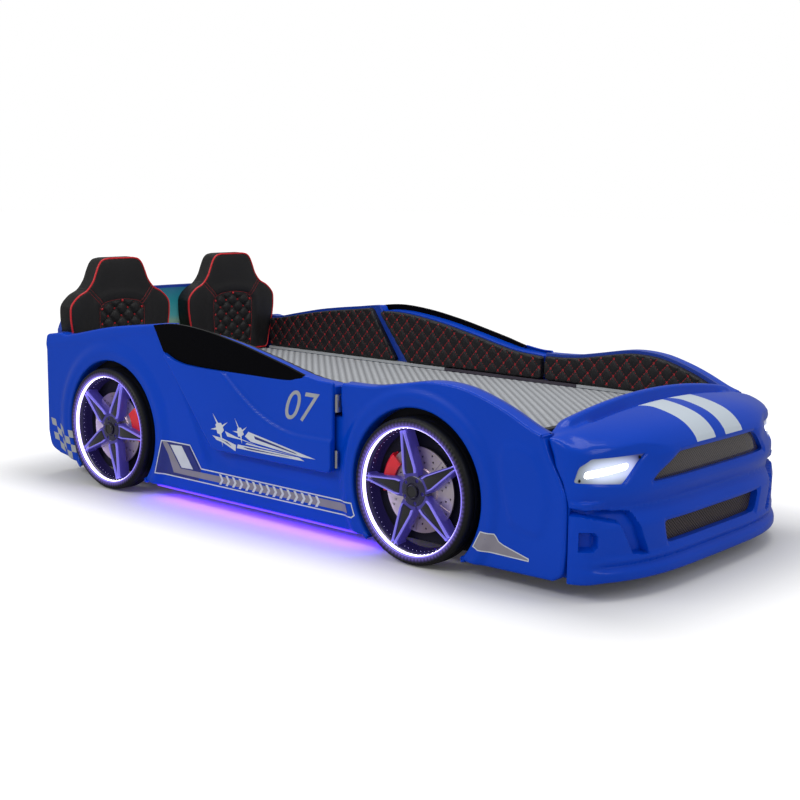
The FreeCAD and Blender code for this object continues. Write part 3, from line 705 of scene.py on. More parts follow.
moulded_plastic("body_blue", BLUE)
moulded_plastic("hood_blue", BLUE, stripes=True)
for board in ("board_blue", "headboard_blue"):
    painted_board(board, (0.002, 0.045, 0.42))
leather("quilted_leather", (0.0075, 0.0065, 0.008), 0.42)
leather("seat_leather", (0.0085, 0.008, 0.009), 0.46, shade_painted_behind=SEAT_FRONT - 9.0)
frosted_lamp("lens_clear")
rubber("tyre_black")
brushed_disc("disc_silver")
printed_field("print_teal")
mesh_grille("grille_black", 11.0, 0.1)
mesh_grille("grille_gloss", 9.0, 1.0)
mattress_cloth("mattress_fabric")
wood("slat_wood")
for name, colour, roughness, metallic, settings in (
        ("window_black", (0.002, 0.002, 0.003), 0.22, 0.0, {"specular": 0.035}),
        ("hinge_steel", (0.62, 0.60, 0.57), 0.28, 1.0, {}),
        # painted light: the rim's violet glow stands in for the LED ring's light on it
        ("rim_gunmetal", (0.012, 0.010, 0.030), 0.24, 0.2, {"coat": 0.5, "glow": (0.006, 0.004, 0.030)}),
        ("caliper_red", (0.75, 0.010, 0.022), 0.3, 0.0, {"coat": 0.5}),
        ("cap_black", (0.006, 0.006, 0.008), 0.22, 0.0, {"coat": 0.6}),
        ("screw_black", (0.02, 0.02, 0.02), 0.35, 0.8, {}),
        ("board_dark", (0.018, 0.018, 0.02), 0.6, 0.0, {}),
        ("leg_black", (0.015, 0.015, 0.016), 0.5, 0.0, {}),
        ("bolt_steel", (0.55, 0.55, 0.56), 0.3, 1.0, {}),
        ("ledge_light", (0.45, 0.47, 0.49), 0.4, 0.0, {}),
        ("ledge_dark", (0.055, 0.045, 0.065), 0.45, 0.0, {}),
        ("box_black", (0.015, 0.015, 0.016), 0.5, 0.0, {}),
        ("seam_red", (0.52, 0.014, 0.026), 0.45, 0.0, {}),
        ("knot_red", (0.62, 0.012, 0.02), 0.4, 0.0, {}),
        ("film_white", (0.62, 0.66, 0.70), 0.35, 0.0, {"coat": 0.3}),
        ("film_grey", (0.25, 0.235, 0.28), 0.4, 0.0, {"coat": 0.3}),
        ("film_silver", (0.36, 0.38, 0.40), 0.35, 0.0, {"coat": 0.3}),
        ("film_navy", (0.006, 0.016, 0.20), 0.35, 0.0, {"coat": 0.3}),
        # painted light: spokes, ridges and hub glow violet as if lit by the LED ring; the ridges' light
        # colour is a painted highlight
        ("spoke_violet", (0.05, 0.042, 0.24), 0.30, 0.3, {"coat": 0.3, "glow": (0.016, 0.012, 0.085)}),
        ("ridge_painted_highlight", (0.20, 0.17, 0.60), 0.2, 0.6, {"coat": 0.5, "glow": (0.16, 0.14, 0.55)}),
        ("hub_black", (0.012, 0.011, 0.022), 0.26, 0.0, {"coat": 0.4, "glow": (0.004, 0.003, 0.016)}),
        # painted shade: the black disc behind each wheel
        ("well_painted_shade", (0.004, 0.004, 0.010), 0.5, 0.0, {"specular": 0.2}),
        ("nut_dark", (0.05, 0.05, 0.09), 0.25, 0.8, {})):
    plain(name, colour, roughness, metallic, **settings)
for name, colour, light, strength in (
        ("led_ring_white", (0.7, 0.7, 0.95), (0.62, 0.52, 1.0), 2.4),
        ("led_white", (0.9, 0.9, 0.9), (1.0, 1.0, 1.0), 4.0),
        ("led_violet", (0.3, 0.2, 1.0), (0.09, 0.0, 1.0), 1.4),
        ("lip_violet", (0.2, 0.18, 0.6), (0.30, 0.24, 1.0), 0.8),
        ("led_bead", (0.9, 0.9, 1.0), (0.95, 0.92, 1.0), 9.0),
        # painted reflection of the LED ring in the barrel
        ("led_glint", (0.6, 0.55, 1.0), (0.55, 0.48, 1.0), 1.6)):
    Finish(name, colour, 0.3, glow=light, strength=strength)


def dressed(piece, finish):
    piece.data.materials.clear()
    piece.data.materials.append(FINISHES[finish].material)
    return piece


SLOTS = {part["node"]: part["material_slot"] for part in frame["record"]["subparts"]}
for node, solid in frame["nodes"].items():
    dressed(solid, SLOTS[node])


def fitted(piece, body, slot, node=None, finish=None, fill=None):
    """Gives a piece its body and its finish, the slot's own unless another is named, and hides the solid it
    stands for.
    """
    dressed(piece, finish or slot)
    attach(piece, body)
    slot in SLOTS.values()
    if node:
        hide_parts(node)
    return piece


def both_sides(piece, body, slot, node="", **settings):
    """Fits a right-hand piece and its mirror image; a * in a name stands for the side."""
    twin = mirrored(piece, piece.name.replace("right", "left"))
    for half, side in ((twin, "left"), (piece, "right")):
        fitted(half, body.replace("*", side), slot, node.replace("*", side), **settings)


# ---- side mouldings ------------------------------------------------------------------------
REAR_TOP = [(-1086, 464), (-1030, 471), (-992, 468), (-938, 477), (-858, 493), (-780, 508),
            (-705, 519), (-606, 530), (-525, 540), DOORWAY_REAR_TOP]
FENDER_TOP = [(DOORWAY_FRONT_X, 442), (268, 442), (339, 445), (374, 450), (425, 459), (508, 474),
              (557, 479), (605, 478), (652, 472), (699, 460), (745, 445), (790, 427), (849, 400),
              (884, 388)]


def arch(x, sill_z):
    """The wheel arch's points from its rear foot over the top to its front foot."""
    lean = math.degrees(math.asin((sill_z - WHEEL_Z) / ARCH_R))
    return arc(x, WHEEL_Z, ARCH_R, 180 - lean, lean)


def side_outline():
    """The side moulding's outline, from the rear corner over the top and back along the sill."""
    loop = curve([(REAR_X, 448), (-1096, 459), (-1086, 464)]) + curve(REAR_TOP)
    loop += [DOORWAY_REAR_FOOT, (DOORWAY_FRONT_X, DOORWAY_REAR_FOOT[1])]
    loop += curve(FENDER_TOP) + curve([(884, 388), (905, 338), (938, 282), (955, 232), (957, 120)])
    loop += curve([(957, 120), (950, 64), (925, 42)])
    loop += [(700, 38.5)] + arch(WHEELS["front"], 42)[::-1] + [(300, SILL_Z), (-540, SILL_Z)]
    loop += arch(WHEELS["rear"], 50)[::-1] + [(-940, 60), (-1037, 74)]
    loop += curve([(-1037, 74), (-1082, 94), (REAR_X, 142)])
    return thinned(loop, 1.0)


FACET = [(752, 330), (757, 262), (774, 203), (789, 152), (829, 136), (884, 130), (905, 150),
         (916, 200), (918, 251), (901, 308), (872, 356), (815, 372), (765, 362), (752, 330)]
SCOOP = [(-478, 470), (-440, 385), (-400, 320), (-359, 246), (-337, 199), (-318, 160), (-300, 132)]
SHOULDER = curve([(-1099, 430), (-1004, 443), (-887, 462), (-787, 482), (-690, 504), (-560, 524),
                  (-480, 530)], 30)


def side_relief(u, v):
    """How far the side stands out of its plane: flared arches, the scoop behind the rear wheel,
    a step over the sill and a raised field at the front."""
    rise = np.zeros(len(u))
    for x, crest, reach in ((WHEELS["front"], 250.0, 276.0), (WHEELS["rear"], 252.0, 284.0)):
        radius = np.hypot(u - x, v - WHEEL_Z)
        rise += FLARE_RISE * (1 - ramp(radius, crest - 6, reach - 4))
        rise += 2.0 * ramp(radius, 228, 240) * (1 - ramp(radius, crest - 6, reach - 4))
    scoop, side = away_from(SCOOP, u, v)
    rise -= 7.0 * (side > 0) * ramp(scoop, 0, 16) * (1 - ramp(scoop, 40, 130)) * ramp(v, 118, 170)
    rise -= 4.0 * ramp(v, 128, 150) * ramp(v, 400, 352) * ramp(u, -330, -290) * ramp(u, 290, 232)
    gap, side = away_from(FACET, u, v)
    near_facet = np.hypot((u - 835) / 90, (v - 250) / 125) < 1.6
    rise += 5.0 * ramp(np.where((side > 0) & near_facet, gap, 0.0), 0, 26)
    return rise + 2.5 * (1 - ramp(away_from(SHOULDER, u, v)[0], 0, 22))


panel = moulded("side_moulding_right", side_outline(), edge=8.0, depth=36.0, cell=6.0,
                relief=side_relief, back=3.0)
smoothed(outside_right(panel, SIDE_Y), 50)
both_sides(panel, "bed", "body_blue", "side_panel_*")

# ---- doors ---------------------------------------------------------------------------------
GLASS_TOP = [(-522, 541), (-488, 545), (-419, 548), (-330, 543), (-264, 535), (-200, 524),
             (-138, 512), (-76, 498), (-16, 484), (43, 470)]
DOOR_LINE = (curve(GLASS_TOP + [(82, 460), (120, 452), (176, 444), (219, 443)])
             + [(219, 212)] + curve([(219, 212), (214, 202), (203, DOOR_FOOT_Z)])
             + [(-236, DOOR_FOOT_Z)] + curve([(-236, DOOR_FOOT_Z), (-256, 203), (-272, 219)])
             + [(-480, 462), (-525, 530)])
WINDOW_LINE = (curve([(-516, 532), (-488, 537), (-419, 540), (-330, 535), (-264, 527), (-200, 516),
                      (-138, 504), (-76, 490), (-16, 476), (43, 462), (80, 453), (108, 446)])
               + curve([(100, 443), (80, 439), (43, 432), (-77, 431), (-367, 434), (-474, 462)]))
CREASE = curve([(-207, 429), (-132, 372), (-42, 320), (69, 290), (219, 289), (240, 289)], 25)


def door_relief(u, v):
    """The door is raised below its crease."""
    gap, side = away_from(CREASE, u, v)
    return CREASE_RISE * ramp(np.where(side < 0, gap, -gap), -5, 7)


door = moulded("door_skin_right", DOOR_LINE, [WINDOW_LINE], edge=5.0, depth=11.0, cell=6.0,
               relief=door_relief, back=3.0)
smoothed(outside_right(door, DOOR_Y - CREASE_RISE), 50)
both_sides(door, "*_door", "body_blue", "door_*")


def doorway_block(gap, front_x, foot_z):
    """The doorway's outline drawn in by a gap; gap 0 is the doorway itself."""
    top = [(-480 + gap + 8, 532 - gap), (-419, 536 - gap), (-330, 532 - gap), (-200, 514 - gap),
           (-76, 489 - gap), (43, 462 - gap), (120, 447 - gap), (front_x, 439 - gap)]
    return [(-345 + gap + 3, foot_z)] + curve(top) + [(front_x, foot_z)]


core = moulded("door_core_right", doorway_block(6, DOOR_EDGE_X, PAD_BASE_Z), edge=3.0, depth=52.0,
               cell=30.0, back="shut")
smoothed(outside_right(core, DOOR_BACK_Y), 40)
both_sides(core, "*_door", "body_blue", "door_*")

# ---- nose ----------------------------------------------------------------------------------
NOSE_BEND, HOOD_BACK, HOOD_LEAD = 1.86e-9, 925.0, 14.0
NOSE_REAR_X, CORNER_REAR_X, RIM_X = 861.0, 888.0, 885.0
NOSE_FOOT_Z, FACE_TOP_Z = 42.0, 262.0
CORNER_Y, CORNER_STATIONS = 447.0, [446, 447.5, 452, 460, 468, 475, 481, 485, 487]
HOOD_STEPS, WALL_STEPS = 20, 24
SEAM = [(957, 60), (957, 120), (955, 232), (938, 282), (905, 338), (884, 388), (880, 420)]
FACE = [(-18, 42), (-4, 45), (0, 51), (0, 66), (-3, 72), (-14, 79), (-16, 84), (-9, 90), (-9, 97),
        (-14, 106), (-13, 125), (-12, 174), (-15, 184), (-24, 202), (-33, 213), (-33, 219),
        (-25, 236), (-20, 250), (-20, 262)]
UPPER_GRILLE = [(-286, 272), (-262, 292), (-190, 336), (190, 336), (262, 292), (286, 272)]
LOWER_GRILLE = [(-226, 114), (-244, 172), (244, 172), (226, 114)]
HEADLIGHT = [(-303, 342), (-378, 276), (-479, 284), (-469, 321), (-445, 339)]
LED_BAR = [(-352, 324), (-356, 309), (-462, 293), (-458, 309)]
SCREWS = ((318.0, 334.0), (470.0, 289.0))
FOG_CHANNEL = [(-494, 224), (-352, 209), (-303, 101), (-352, 108), (-390, 184), (-494, 211)]
FOG_POCKET = [(-480, 124), (-480, 168), (-458, 168), (-446, 158), (-446, 134), (-456, 124)]


def skinned(name, rows):
    """A closed solid through rings of points, one ring after another, capped at both ends."""
    rows = np.array(rows, float)
    rings, around = rows.shape[:2]
    piece = renamed(added(bpy.ops.mesh.primitive_grid_add, x_subdivisions=around,
                          y_subdivisions=rings - 1, size=2), name)
    set_points(piece, np.concatenate([rows, rows[:, :1]], axis=1).reshape(-1, 3))
    return edit(piece, ALL, (bpy.ops.mesh.remove_doubles, {"threshold": 0.001}),
                (bpy.ops.mesh.fill_holes, {"sides": 0}), ALL, OUTWARDS)


def inward(loop, u, v):
    """Distance from an outline, above zero inside it."""
    gap = away_from(loop + loop[:1], u, v)[0]
    return np.where(within(loop, u, v), gap, -gap)


def nose_front(y):
    """How far forward the nose reaches, with its corners turned back."""
    corner = np.clip((np.abs(y) - 455.0) / 32.5, 0, 1)
    return NOSE_X - NOSE_BEND * np.abs(y) ** 4 - 28.0 * (1 - np.sqrt(1 - corner ** 2))


def hood_height(y, x):
    """The hood's height at a place, from its crest to its front edge."""
    u = np.clip((x - HOOD_BACK) / (nose_front(y) - HOOD_LEAD - HOOD_BACK), 0, 1)
    reach = np.clip(u * (NOSE_X - HOOD_BACK) / 174.0, 0, 1)
    return 427.0 - 40.0 * reach ** 1.5 - 33.0 * reach ** 6 - 45.0 * (y / SIDE_Y) ** 2


def face_offset(y, z):
    """How far behind the nose's front line the face lies at a height."""
    depth = np.interp(z, [point[1] for point in FACE], [point[0] for point in FACE])
    top = -14.0 - 18.0 * ramp(np.abs(y), 215, 330)
    upper = -20.0 + (top + 20.0) * ramp(z, FACE_TOP_Z, 336)
    calm = 1 - 0.75 * ramp(np.abs(y), 410, 478)
    return np.where(z > FACE_TOP_Z, upper, depth) * np.where(z > 240, 1.0, calm)


def seam_x(z):
    """Where the nose meets the side moulding at a height."""
    return np.interp(z, [point[1] for point in SEAM], [point[0] for point in SEAM]) + 3.0


def nose_ring(y):
    """One slice of the nose: up its face, back over the hood and the trough, and down again."""
    top = float(hood_height(y, NOSE_X))
    back_z = float(hood_height(y, HOOD_BACK))
    at_corner = abs(y) >= CORNER_Y
    levels = np.concatenate([np.linspace(NOSE_FOOT_Z, FACE_TOP_Z, 44),
                             np.linspace(FACE_TOP_Z + 6, top - 4, 12)])
    face = np.column_stack([nose_front(y) + face_offset(y, levels), levels])
    start = face[-1, 0] - 6
    back = np.linspace(start, HOOD_BACK if start > HOOD_BACK + 5 else start, HOOD_STEPS)
    hood = np.column_stack([back, hood_height(y, back)])
    crest = 450.0 - 55.0 * (y / SIDE_Y) ** 2
    dip = 13.0 * (1 - ramp(abs(y), 305, 350))
    middle = 1 - ramp(abs(y), 380, 446)
    rim_z = crest * middle + (1 - middle) * back_z
    rear = CORNER_REAR_X if at_corner else NOSE_REAR_X
    trough = np.array([(917, back_z - dip * 0.7), (908, back_z - dip), (902, back_z - dip * 0.6),
                       (RIM_X + 8, rim_z - 4), (RIM_X, rim_z), (RIM_X - 10, rim_z - 2),
                       (rear, rim_z - 9)], float)
    down = np.linspace(trough[-1, 1] - 10, NOSE_FOOT_Z, WALL_STEPS)
    wall = np.column_stack([seam_x(down) if at_corner else np.full(WALL_STEPS, rear), down])
    if at_corner:
        trough[:, 0] = np.maximum(trough[:, 0], seam_x(trough[:, 1]))
    ring = np.vstack([face, hood, trough, wall])
    if at_corner:
        over = slice(len(face), len(face) + HOOD_STEPS)
        ring[:len(face), 0] = np.maximum(face[:, 0], seam_x(face[:, 1]) + 6)
        front_x = ring[len(face) - 1, 0]
        ring[over, 0] = np.linspace(front_x - 4, max(front_x - 8, HOOD_BACK), HOOD_STEPS)
        ring[over, 1] = hood_height(y, ring[over, 0])
    return [(x, y, z) for x, z in ring]


stations = np.concatenate([[-y for y in CORNER_STATIONS[::-1]], np.linspace(-438, 438, 98),
                           CORNER_STATIONS])
nose = skinned("front_moulding", [nose_ring(y) for y in stations])
picked(nose)
nose.data.remesh_voxel_size = 4.0
bpy.ops.object.voxel_remesh()
apply(nose, "SMOOTH", factor=0.5, iterations=3)
corners = nose.vertex_groups.new(name="corners")
for index, (x, y, z) in enumerate(points_of(nose)):
    if abs(y) > 395 and z > 318:
        corners.add([index], float(ramp(abs(y), 395, 430) * ramp(z, 318, 345)), "REPLACE")
apply(nose, "SMOOTH", factor=0.5, iterations=90, vertex_group="corners")


def face_relief(y, z):
    """What is pressed into the nose's face: fog light channels, pockets and drawn-in rims."""
    side = -np.abs(y)
    depth = 21.0 * ramp(inward(FOG_CHANNEL, side, z), -1, 4)
    depth += 24.0 * ramp(inward(FOG_POCKET, side, z), -1, 4)
    for loop in (UPPER_GRILLE, LOWER_GRILLE):
        depth += 6.0 * ramp(inward(loop, y, z), -12, 1) ** 2
    depth += 2.5 * ramp(inward(HEADLIGHT, side, z), -7, 1)
    return depth


points = points_of(nose)
ahead = points[:, 0] > nose_front(points[:, 1]) - 60
ahead &= (points[:, 0] > seam_x(points[:, 2]) + 4) & (points[:, 2] < 350)
lean = np.arctan(4 * NOSE_BEND * np.abs(points[:, 1]) ** 3)
press = np.where(ahead, face_relief(points[:, 1], points[:, 2]), 0.0)
points[:, 0] -= press * np.cos(lean)
points[:, 1] -= press * np.sin(lean) * np.sign(points[:, 1])
set_points(nose, points)


def face_tool(loop, low, high):
    """A prism along X on an outline across the nose, to cut its face with."""
    tool = prism(spaced(loop, 12.0), low, high)
    set_points(tool, points_of(tool)[:, [2, 0, 1]])
    return edit(tool, ALL, OUTWARDS)


def softened(loop, radius):
    """An outline with its corners rounded."""
    rounded = []
    for before, here, after in zip(loop[-1:] + loop[:-1], loop, loop[1:] + loop[:1]):
        here_v, ends = Vector(here), []
        for other in (before, after):
            run = Vector(other) - here_v
            ends.append(here_v + run * min(radius / run.length, 0.45))
        for t in np.linspace(0, 1, 6):
            bend = ends[0] * (1 - t) ** 2 + here_v * 2 * t * (1 - t) + ends[1] * t ** 2
            rounded.append((bend.x, bend.y))
    return rounded


def cavity_ring(y):
    """One slice of the hollow behind the nose, open below and to the rear."""
    top = float(hood_height(y, NOSE_X))
    levels = np.linspace(20, top - 22, 18)
    face = np.column_stack([nose_front(y) + face_offset(y, np.maximum(levels, 50)) - 30, levels])
    back = np.linspace(face[-1, 0] - 6, HOOD_BACK, 8)
    hood = np.column_stack([back, hood_height(y, back) - 16])
    rear_top = float(hood_height(y, HOOD_BACK)) - 30
    return [(x, y, z) for x, z in np.vstack([face, hood, [(908, rear_top), (840, rear_top), (840, 20)]])]


LAMP = softened(HEADLIGHT, 6)
GRILLE_CORNER, GRILLE_FLOOR_X, LAMP_FLOOR_X = 16, 1020.0, 935.0
for loop, floor_x in ((softened(UPPER_GRILLE, GRILLE_CORNER), GRILLE_FLOOR_X),
                      (softened(LOWER_GRILLE, GRILLE_CORNER), GRILLE_FLOOR_X),
                      (LAMP, LAMP_FLOOR_X), ([(-y, z) for y, z in LAMP][::-1], LAMP_FLOOR_X)):
    cut(nose, face_tool(loop, floor_x, 1200.0))
cut(nose, skinned("cavity", [cavity_ring(y) for y in np.linspace(-432, 432, 25)]))
set_points(nose, points_of(nose) * MM)
smoothed(nose, 38)
fitted(nose, "bed", "body_blue", "front_shell", finish="hood_blue")


def face_sheet(name, loop, sunk, thick, cell):
    """A curved sheet that follows the nose's face, a little behind it."""
    piece = moulded(name, loop, edge=0.8, depth=thick, cell=cell, back="shut")
    points = points_of(piece)
    y, z = points[:, 0].copy(), points[:, 1].copy()
    x = nose_front(y) + face_offset(y, z) - sunk + points[:, 2]
    set_points(piece, np.column_stack([x, y, z]) * MM)
    return smoothed(piece, 40)


for mesh_name, loop, sunk, node, finish in (
        ("grille_mesh_upper", UPPER_GRILLE, 17.0, "upper_grille", "grille_gloss"),
        ("grille_mesh_lower", LOWER_GRILLE, 24.0, "lower_grille", "grille_black")):
    grille = face_sheet(mesh_name, ringed(softened(loop, GRILLE_CORNER), -3), sunk, 3.0, 10.0)
    fitted(grille, "bed", "grille_black", node, finish=finish)
for glass_name, loop, sunk, thick, slot, node in (
        ("headlight_cover_right", ringed(LAMP, -3), 7.0, 3.0, "lens_clear", "headlight_lens_*"),
        ("headlight_bar_right", softened(LED_BAR, 8), 5.5, 2.0, "led_white", "headlight_leds")):
    both_sides(face_sheet(glass_name, loop, sunk, thick, 6.0), "bed", slot, node)


def screw_head(y, z):
    """A small domed screw on the headlight cover."""
    head = added(bpy.ops.mesh.primitive_uv_sphere_add, segments=16, ring_count=8, radius=1)
    x = nose_front(y) + float(face_offset(np.array([y]), np.array([z]))[0]) - 5.5
    set_points(head, (points_of(head) * (2.4, 4.0, 4.0) + (x, y, z)) * MM)
    return head


heads = joined(*[screw_head(side * y, z) for side in (-1, 1) for y, z in SCREWS])
fitted(smoothed(renamed(heads, "headlight_screws"), 60), "bed", "screw_black", "screws")

# ---- quilting and thread ---------------------------------------------------------------------
def lattice(u, v, across, up, base):
    """Distances to the nearest stitching line on either diagonal, and how full the puff is."""
    first = (u - base[0]) / across + (v - base[1]) / up
    second = (u - base[0]) / across - (v - base[1]) / up
    gap = 1 / math.hypot(1 / across, 1 / up)
    puff = np.abs(np.sin(np.pi * first) * np.sin(np.pi * second))
    return np.abs(first - np.round(first)) * gap, np.abs(second - np.round(second)) * gap, puff


def diagonal_places(loop, across, up, base, per_side=4):
    """Where the stitches of a diamond quilt go inside an outline, and where its knots go."""
    size = np.abs(np.array(loop) - base).max() * 2
    count = int(size / min(across, up)) + 2
    stitches, knots = [], []
    half = np.array([across, up]) / 2
    steps = (np.arange(-2 * count * per_side, 2 * count * per_side) + 0.5) / per_side
    for index in range(-2 * count, 2 * count + 1):
        for lean in (1, -1):
            way = half * (1, -lean)
            spots = np.array(base) + (index * across, 0) + steps[:, None] * way
            turn = np.full((len(spots), 1), math.atan2(way[1], way[0]))
            stitches.append(np.hstack([spots, turn]))
        spots = np.array(base) + np.arange(-2 * count, 2 * count)[:, None] * half * (1, -1)
        knots.append(spots + (index * across, 0))
    stitches, knots = np.vstack(stitches), np.vstack(knots)
    return (stitches[within(loop, stitches[:, 0], stitches[:, 1])],
            knots[within(loop, knots[:, 0], knots[:, 1])])


def along(path, pitch):
    """Evenly spaced places on a path, each with its direction."""
    path = np.array(path, float)
    runs = np.linalg.norm(np.diff(path, axis=0), axis=1)
    marks = np.concatenate([[0], np.cumsum(runs)])
    spots = np.arange(pitch / 2, marks[-1], pitch)
    u, v = np.interp(spots, marks, path[:, 0]), np.interp(spots, marks, path[:, 1])
    index = np.clip(np.searchsorted(marks, spots) - 1, 0, len(runs) - 1)
    way = np.diff(path, axis=0)[index]
    return np.column_stack([u, v, np.arctan2(way[:, 1], way[:, 0])])


def strewn(name, model, places):
    """One mesh of many copies of a model; a place is its x, y, z and its turn about Z."""
    points = points_of(model)
    corners = [np.array(polygon.vertices) for polygon in model.data.polygons]
    spots = np.asarray(places, float)
    cos, sin = np.cos(spots[:, 3])[:, None], np.sin(spots[:, 3])[:, None]
    x = points[:, 0] * cos - points[:, 1] * sin + spots[:, 0, None]
    y = points[:, 0] * sin + points[:, 1] * cos + spots[:, 1, None]
    z = points[:, 2] + spots[:, 2, None]
    mesh = bpy.data.meshes.new(name)
    faces = [tuple(corner + copy * len(points)) for copy in range(len(spots)) for corner in corners]
    mesh.from_pydata(np.stack([x, y, z], 2).reshape(-1, 3).tolist(), [], faces)
    piece = bpy.data.objects.new(name, mesh)
    bpy.context.scene.collection.objects.link(piece)
    bpy.data.objects.remove(model)
    return piece


def stitch(length, width, height):
    """One stitch: a small bar with its ends drawn down."""
    bar = added(bpy.ops.mesh.primitive_cube_add, size=1)
    edit(bar, ALL, (bpy.ops.mesh.subdivide, {"number_cuts": 1}))
    points = points_of(bar)
    points[:, 2] -= 0.9 * np.abs(points[:, 0]) + 0.5 * np.abs(points[:, 1])
    set_points(bar, points * (length, width, height))
    return bar


def knot(radius, height):
    """A small round knot or button."""
    ball = added(bpy.ops.mesh.primitive_ico_sphere_add, subdivisions=1, radius=1)
    set_points(ball, points_of(ball) * (radius, radius, height))
    return ball


def tube(name, path, radius, closed=True):
    """A round cord along points in space."""
    line = bpy.data.curves.new(name, "CURVE")
    line.dimensions = "3D"
    line.bevel_depth = radius
    line.bevel_resolution = 2
    spline = line.splines.new("POLY")
    spline.points.add(len(path) - 1)
    for point, place in zip(spline.points, path):
        point.co = (*place, 1)
    spline.use_cyclic_u = closed
    piece = bpy.data.objects.new(name, line)
    bpy.context.scene.collection.objects.link(piece)
    picked(piece)
    bpy.ops.object.convert(target="MESH")
    return smoothed(renamed(bpy.context.object, name), 60)


def with_height(places, relief, lift=0.4):
    """Flat places lifted onto a relief, each with its turn."""
    height = relief(places[:, 0], places[:, 1]) + lift
    turn = places[:, 2] if places.shape[1] > 2 else np.zeros(len(places))
    return np.column_stack([places[:, 0], places[:, 1], height, turn])


# ---- quilted pads ----------------------------------------------------------------------------
PAD_FACE_Y = 428.0
QUILT = (46.0, 52.0, (10.0, 371.0))
REAR_PAD = ([(-1012, PAD_BASE_Z), (-1012, 461)]
            + curve([(-992, 462), (-938, 470), (-858, 485), (-780, 499), (-705, 510), (-606, 521),
                     (-510, 533)]) + [(-500, 528), (-383, PAD_BASE_Z)])
FRONT_PAD = ([(238, PAD_BASE_Z), (238, 433)]
             + curve([(304, 434), (374, 441), (425, 450), (508, 465), (557, 470), (605, 469),
                      (652, 463), (699, 450), (745, 434), (790, 415), (836, 391)])
             + [(836, PAD_BASE_Z)])
DOOR_PAD = doorway_block(9, DOORWAY_FRONT_X - 6, PAD_BASE_Z)


def quilt_relief(u, v):
    """Puffed diamonds between sewn lines, pulled in deepest at the knots."""
    first, second, puff = lattice(u, v, *QUILT)
    line = np.minimum(first, second)
    return (2.0 * puff ** 0.6 - 1.8 * np.exp(-(line / 3.0) ** 2)
            - 1.8 * np.exp(-(np.hypot(first, second) / 6.0) ** 2))


for pad_name, pad_line, body in (("rear", REAR_PAD, "bed"), ("front", FRONT_PAD, "bed"),
                                 ("door", DOOR_PAD, "*_door")):
    pad = moulded(f"{pad_name}_cushion_right", pad_line, edge=6.5, depth=PAD_THICK, cell=3.4,
                  relief=quilt_relief, back="shut")
    stitches, knots = [diagonal_places(drawn_in(spaced(pad_line), margin), *QUILT)[kind]
                       for kind, margin in ((0, 6.0), (1, 9.0))]
    thread = strewn(f"{pad_name}_thread_right", stitch(8.2, 1.9, 2.0), with_height(stitches, quilt_relief))
    dots = strewn(f"{pad_name}_knots_right", knot(2.9, 1.9), with_height(knots, quilt_relief))
    for piece in (pad, thread, dots):
        inside_right(piece, PAD_FACE_Y)
    both_sides(smoothed(pad, 60), body, "quilted_leather", f"{pad_name}_pad_*", fill=0.85)
    both_sides(thread, body, "", finish="seam_red")
    both_sides(smoothed(dots, 80), body, "", finish="knot_red")

# ---- seats -----------------------------------------------------------------------------------
SEAT_CLIMB = [(200, 478), (205, 528), (200, 558), (172, 586), (138, 604), (114, 632), (100, 664),
              (88, 688), (73, 702), (50, 707)]
SEAT_LINE = thinned(curve([(-164, 354), (-174, 362), (-178, 374)])
                    + curve([(-178, 374)] + [(-y, z) for y, z in SEAT_CLIMB], 5)
                    + curve(SEAT_CLIMB[::-1] + [(178, 374)], 5)
                    + curve([(178, 374), (174, 362), (164, 354)]), 0.5)
INSET_TOP = curve([(-86, 366), (-92, 520), (-84, 548), (-62, 562), (0, 569), (62, 562), (84, 548),
                   (92, 520), (86, 366)], 5)
INSET_LINE = INSET_TOP + [(80, 362), (-80, 362)]
TUFTS = (55.0, 50.0, (27.5, 539.0))
YOKE = [[(-136, 604), (-84, 550)], [(-128, 611), (-77, 557)]]
YOKE_SEAMS = YOKE + [[(-y, z) for y, z in seam] for seam in YOKE]


def seat_relief(u, v):
    """A crowned seat face with a sewn-in tufted field and double seams at the shoulders."""
    edge = away_from(SEAT_LINE + SEAT_LINE[:1], u, v)[0]
    rise = 6.0 * (1 - np.exp(-edge / 24.0))
    arch_gap = away_from(INSET_LINE + INSET_LINE[:1], u, v)[0]
    inner = within(INSET_LINE, u, v)
    first, second, puff = lattice(u, v, *TUFTS)
    line = np.minimum(first, second)
    tufted = (6.5 * puff ** 0.5 - 3.4 * np.exp(-(line / 4.5) ** 2)
              - 4.5 * np.exp(-(np.hypot(first, second) / 9.0) ** 2) - 3.0)
    rise += np.where(inner, tufted * ramp(arch_gap, 1, 16), 0.0)
    rise -= 3.0 * np.exp(-(arch_gap / 4.0) ** 2)
    rise += np.where(inner, 0.0, 2.4 * np.exp(-((arch_gap - 20) / 14.0) ** 2))
    for seam in YOKE_SEAMS:
        rise -= 1.7 * np.exp(-(away_from(seam, u, v)[0] / 2.6) ** 2)
    return rise


def on_seat(piece):
    """Stands a flat seat piece in its place on the right."""
    stood(piece, (0, 1, 0), (0, 0, 1), (1, 0, 0), SEAT_FRONT)
    set_points(piece, points_of(piece) - (0, SEAT_CENTRE_Y * MM, 0))
    return piece


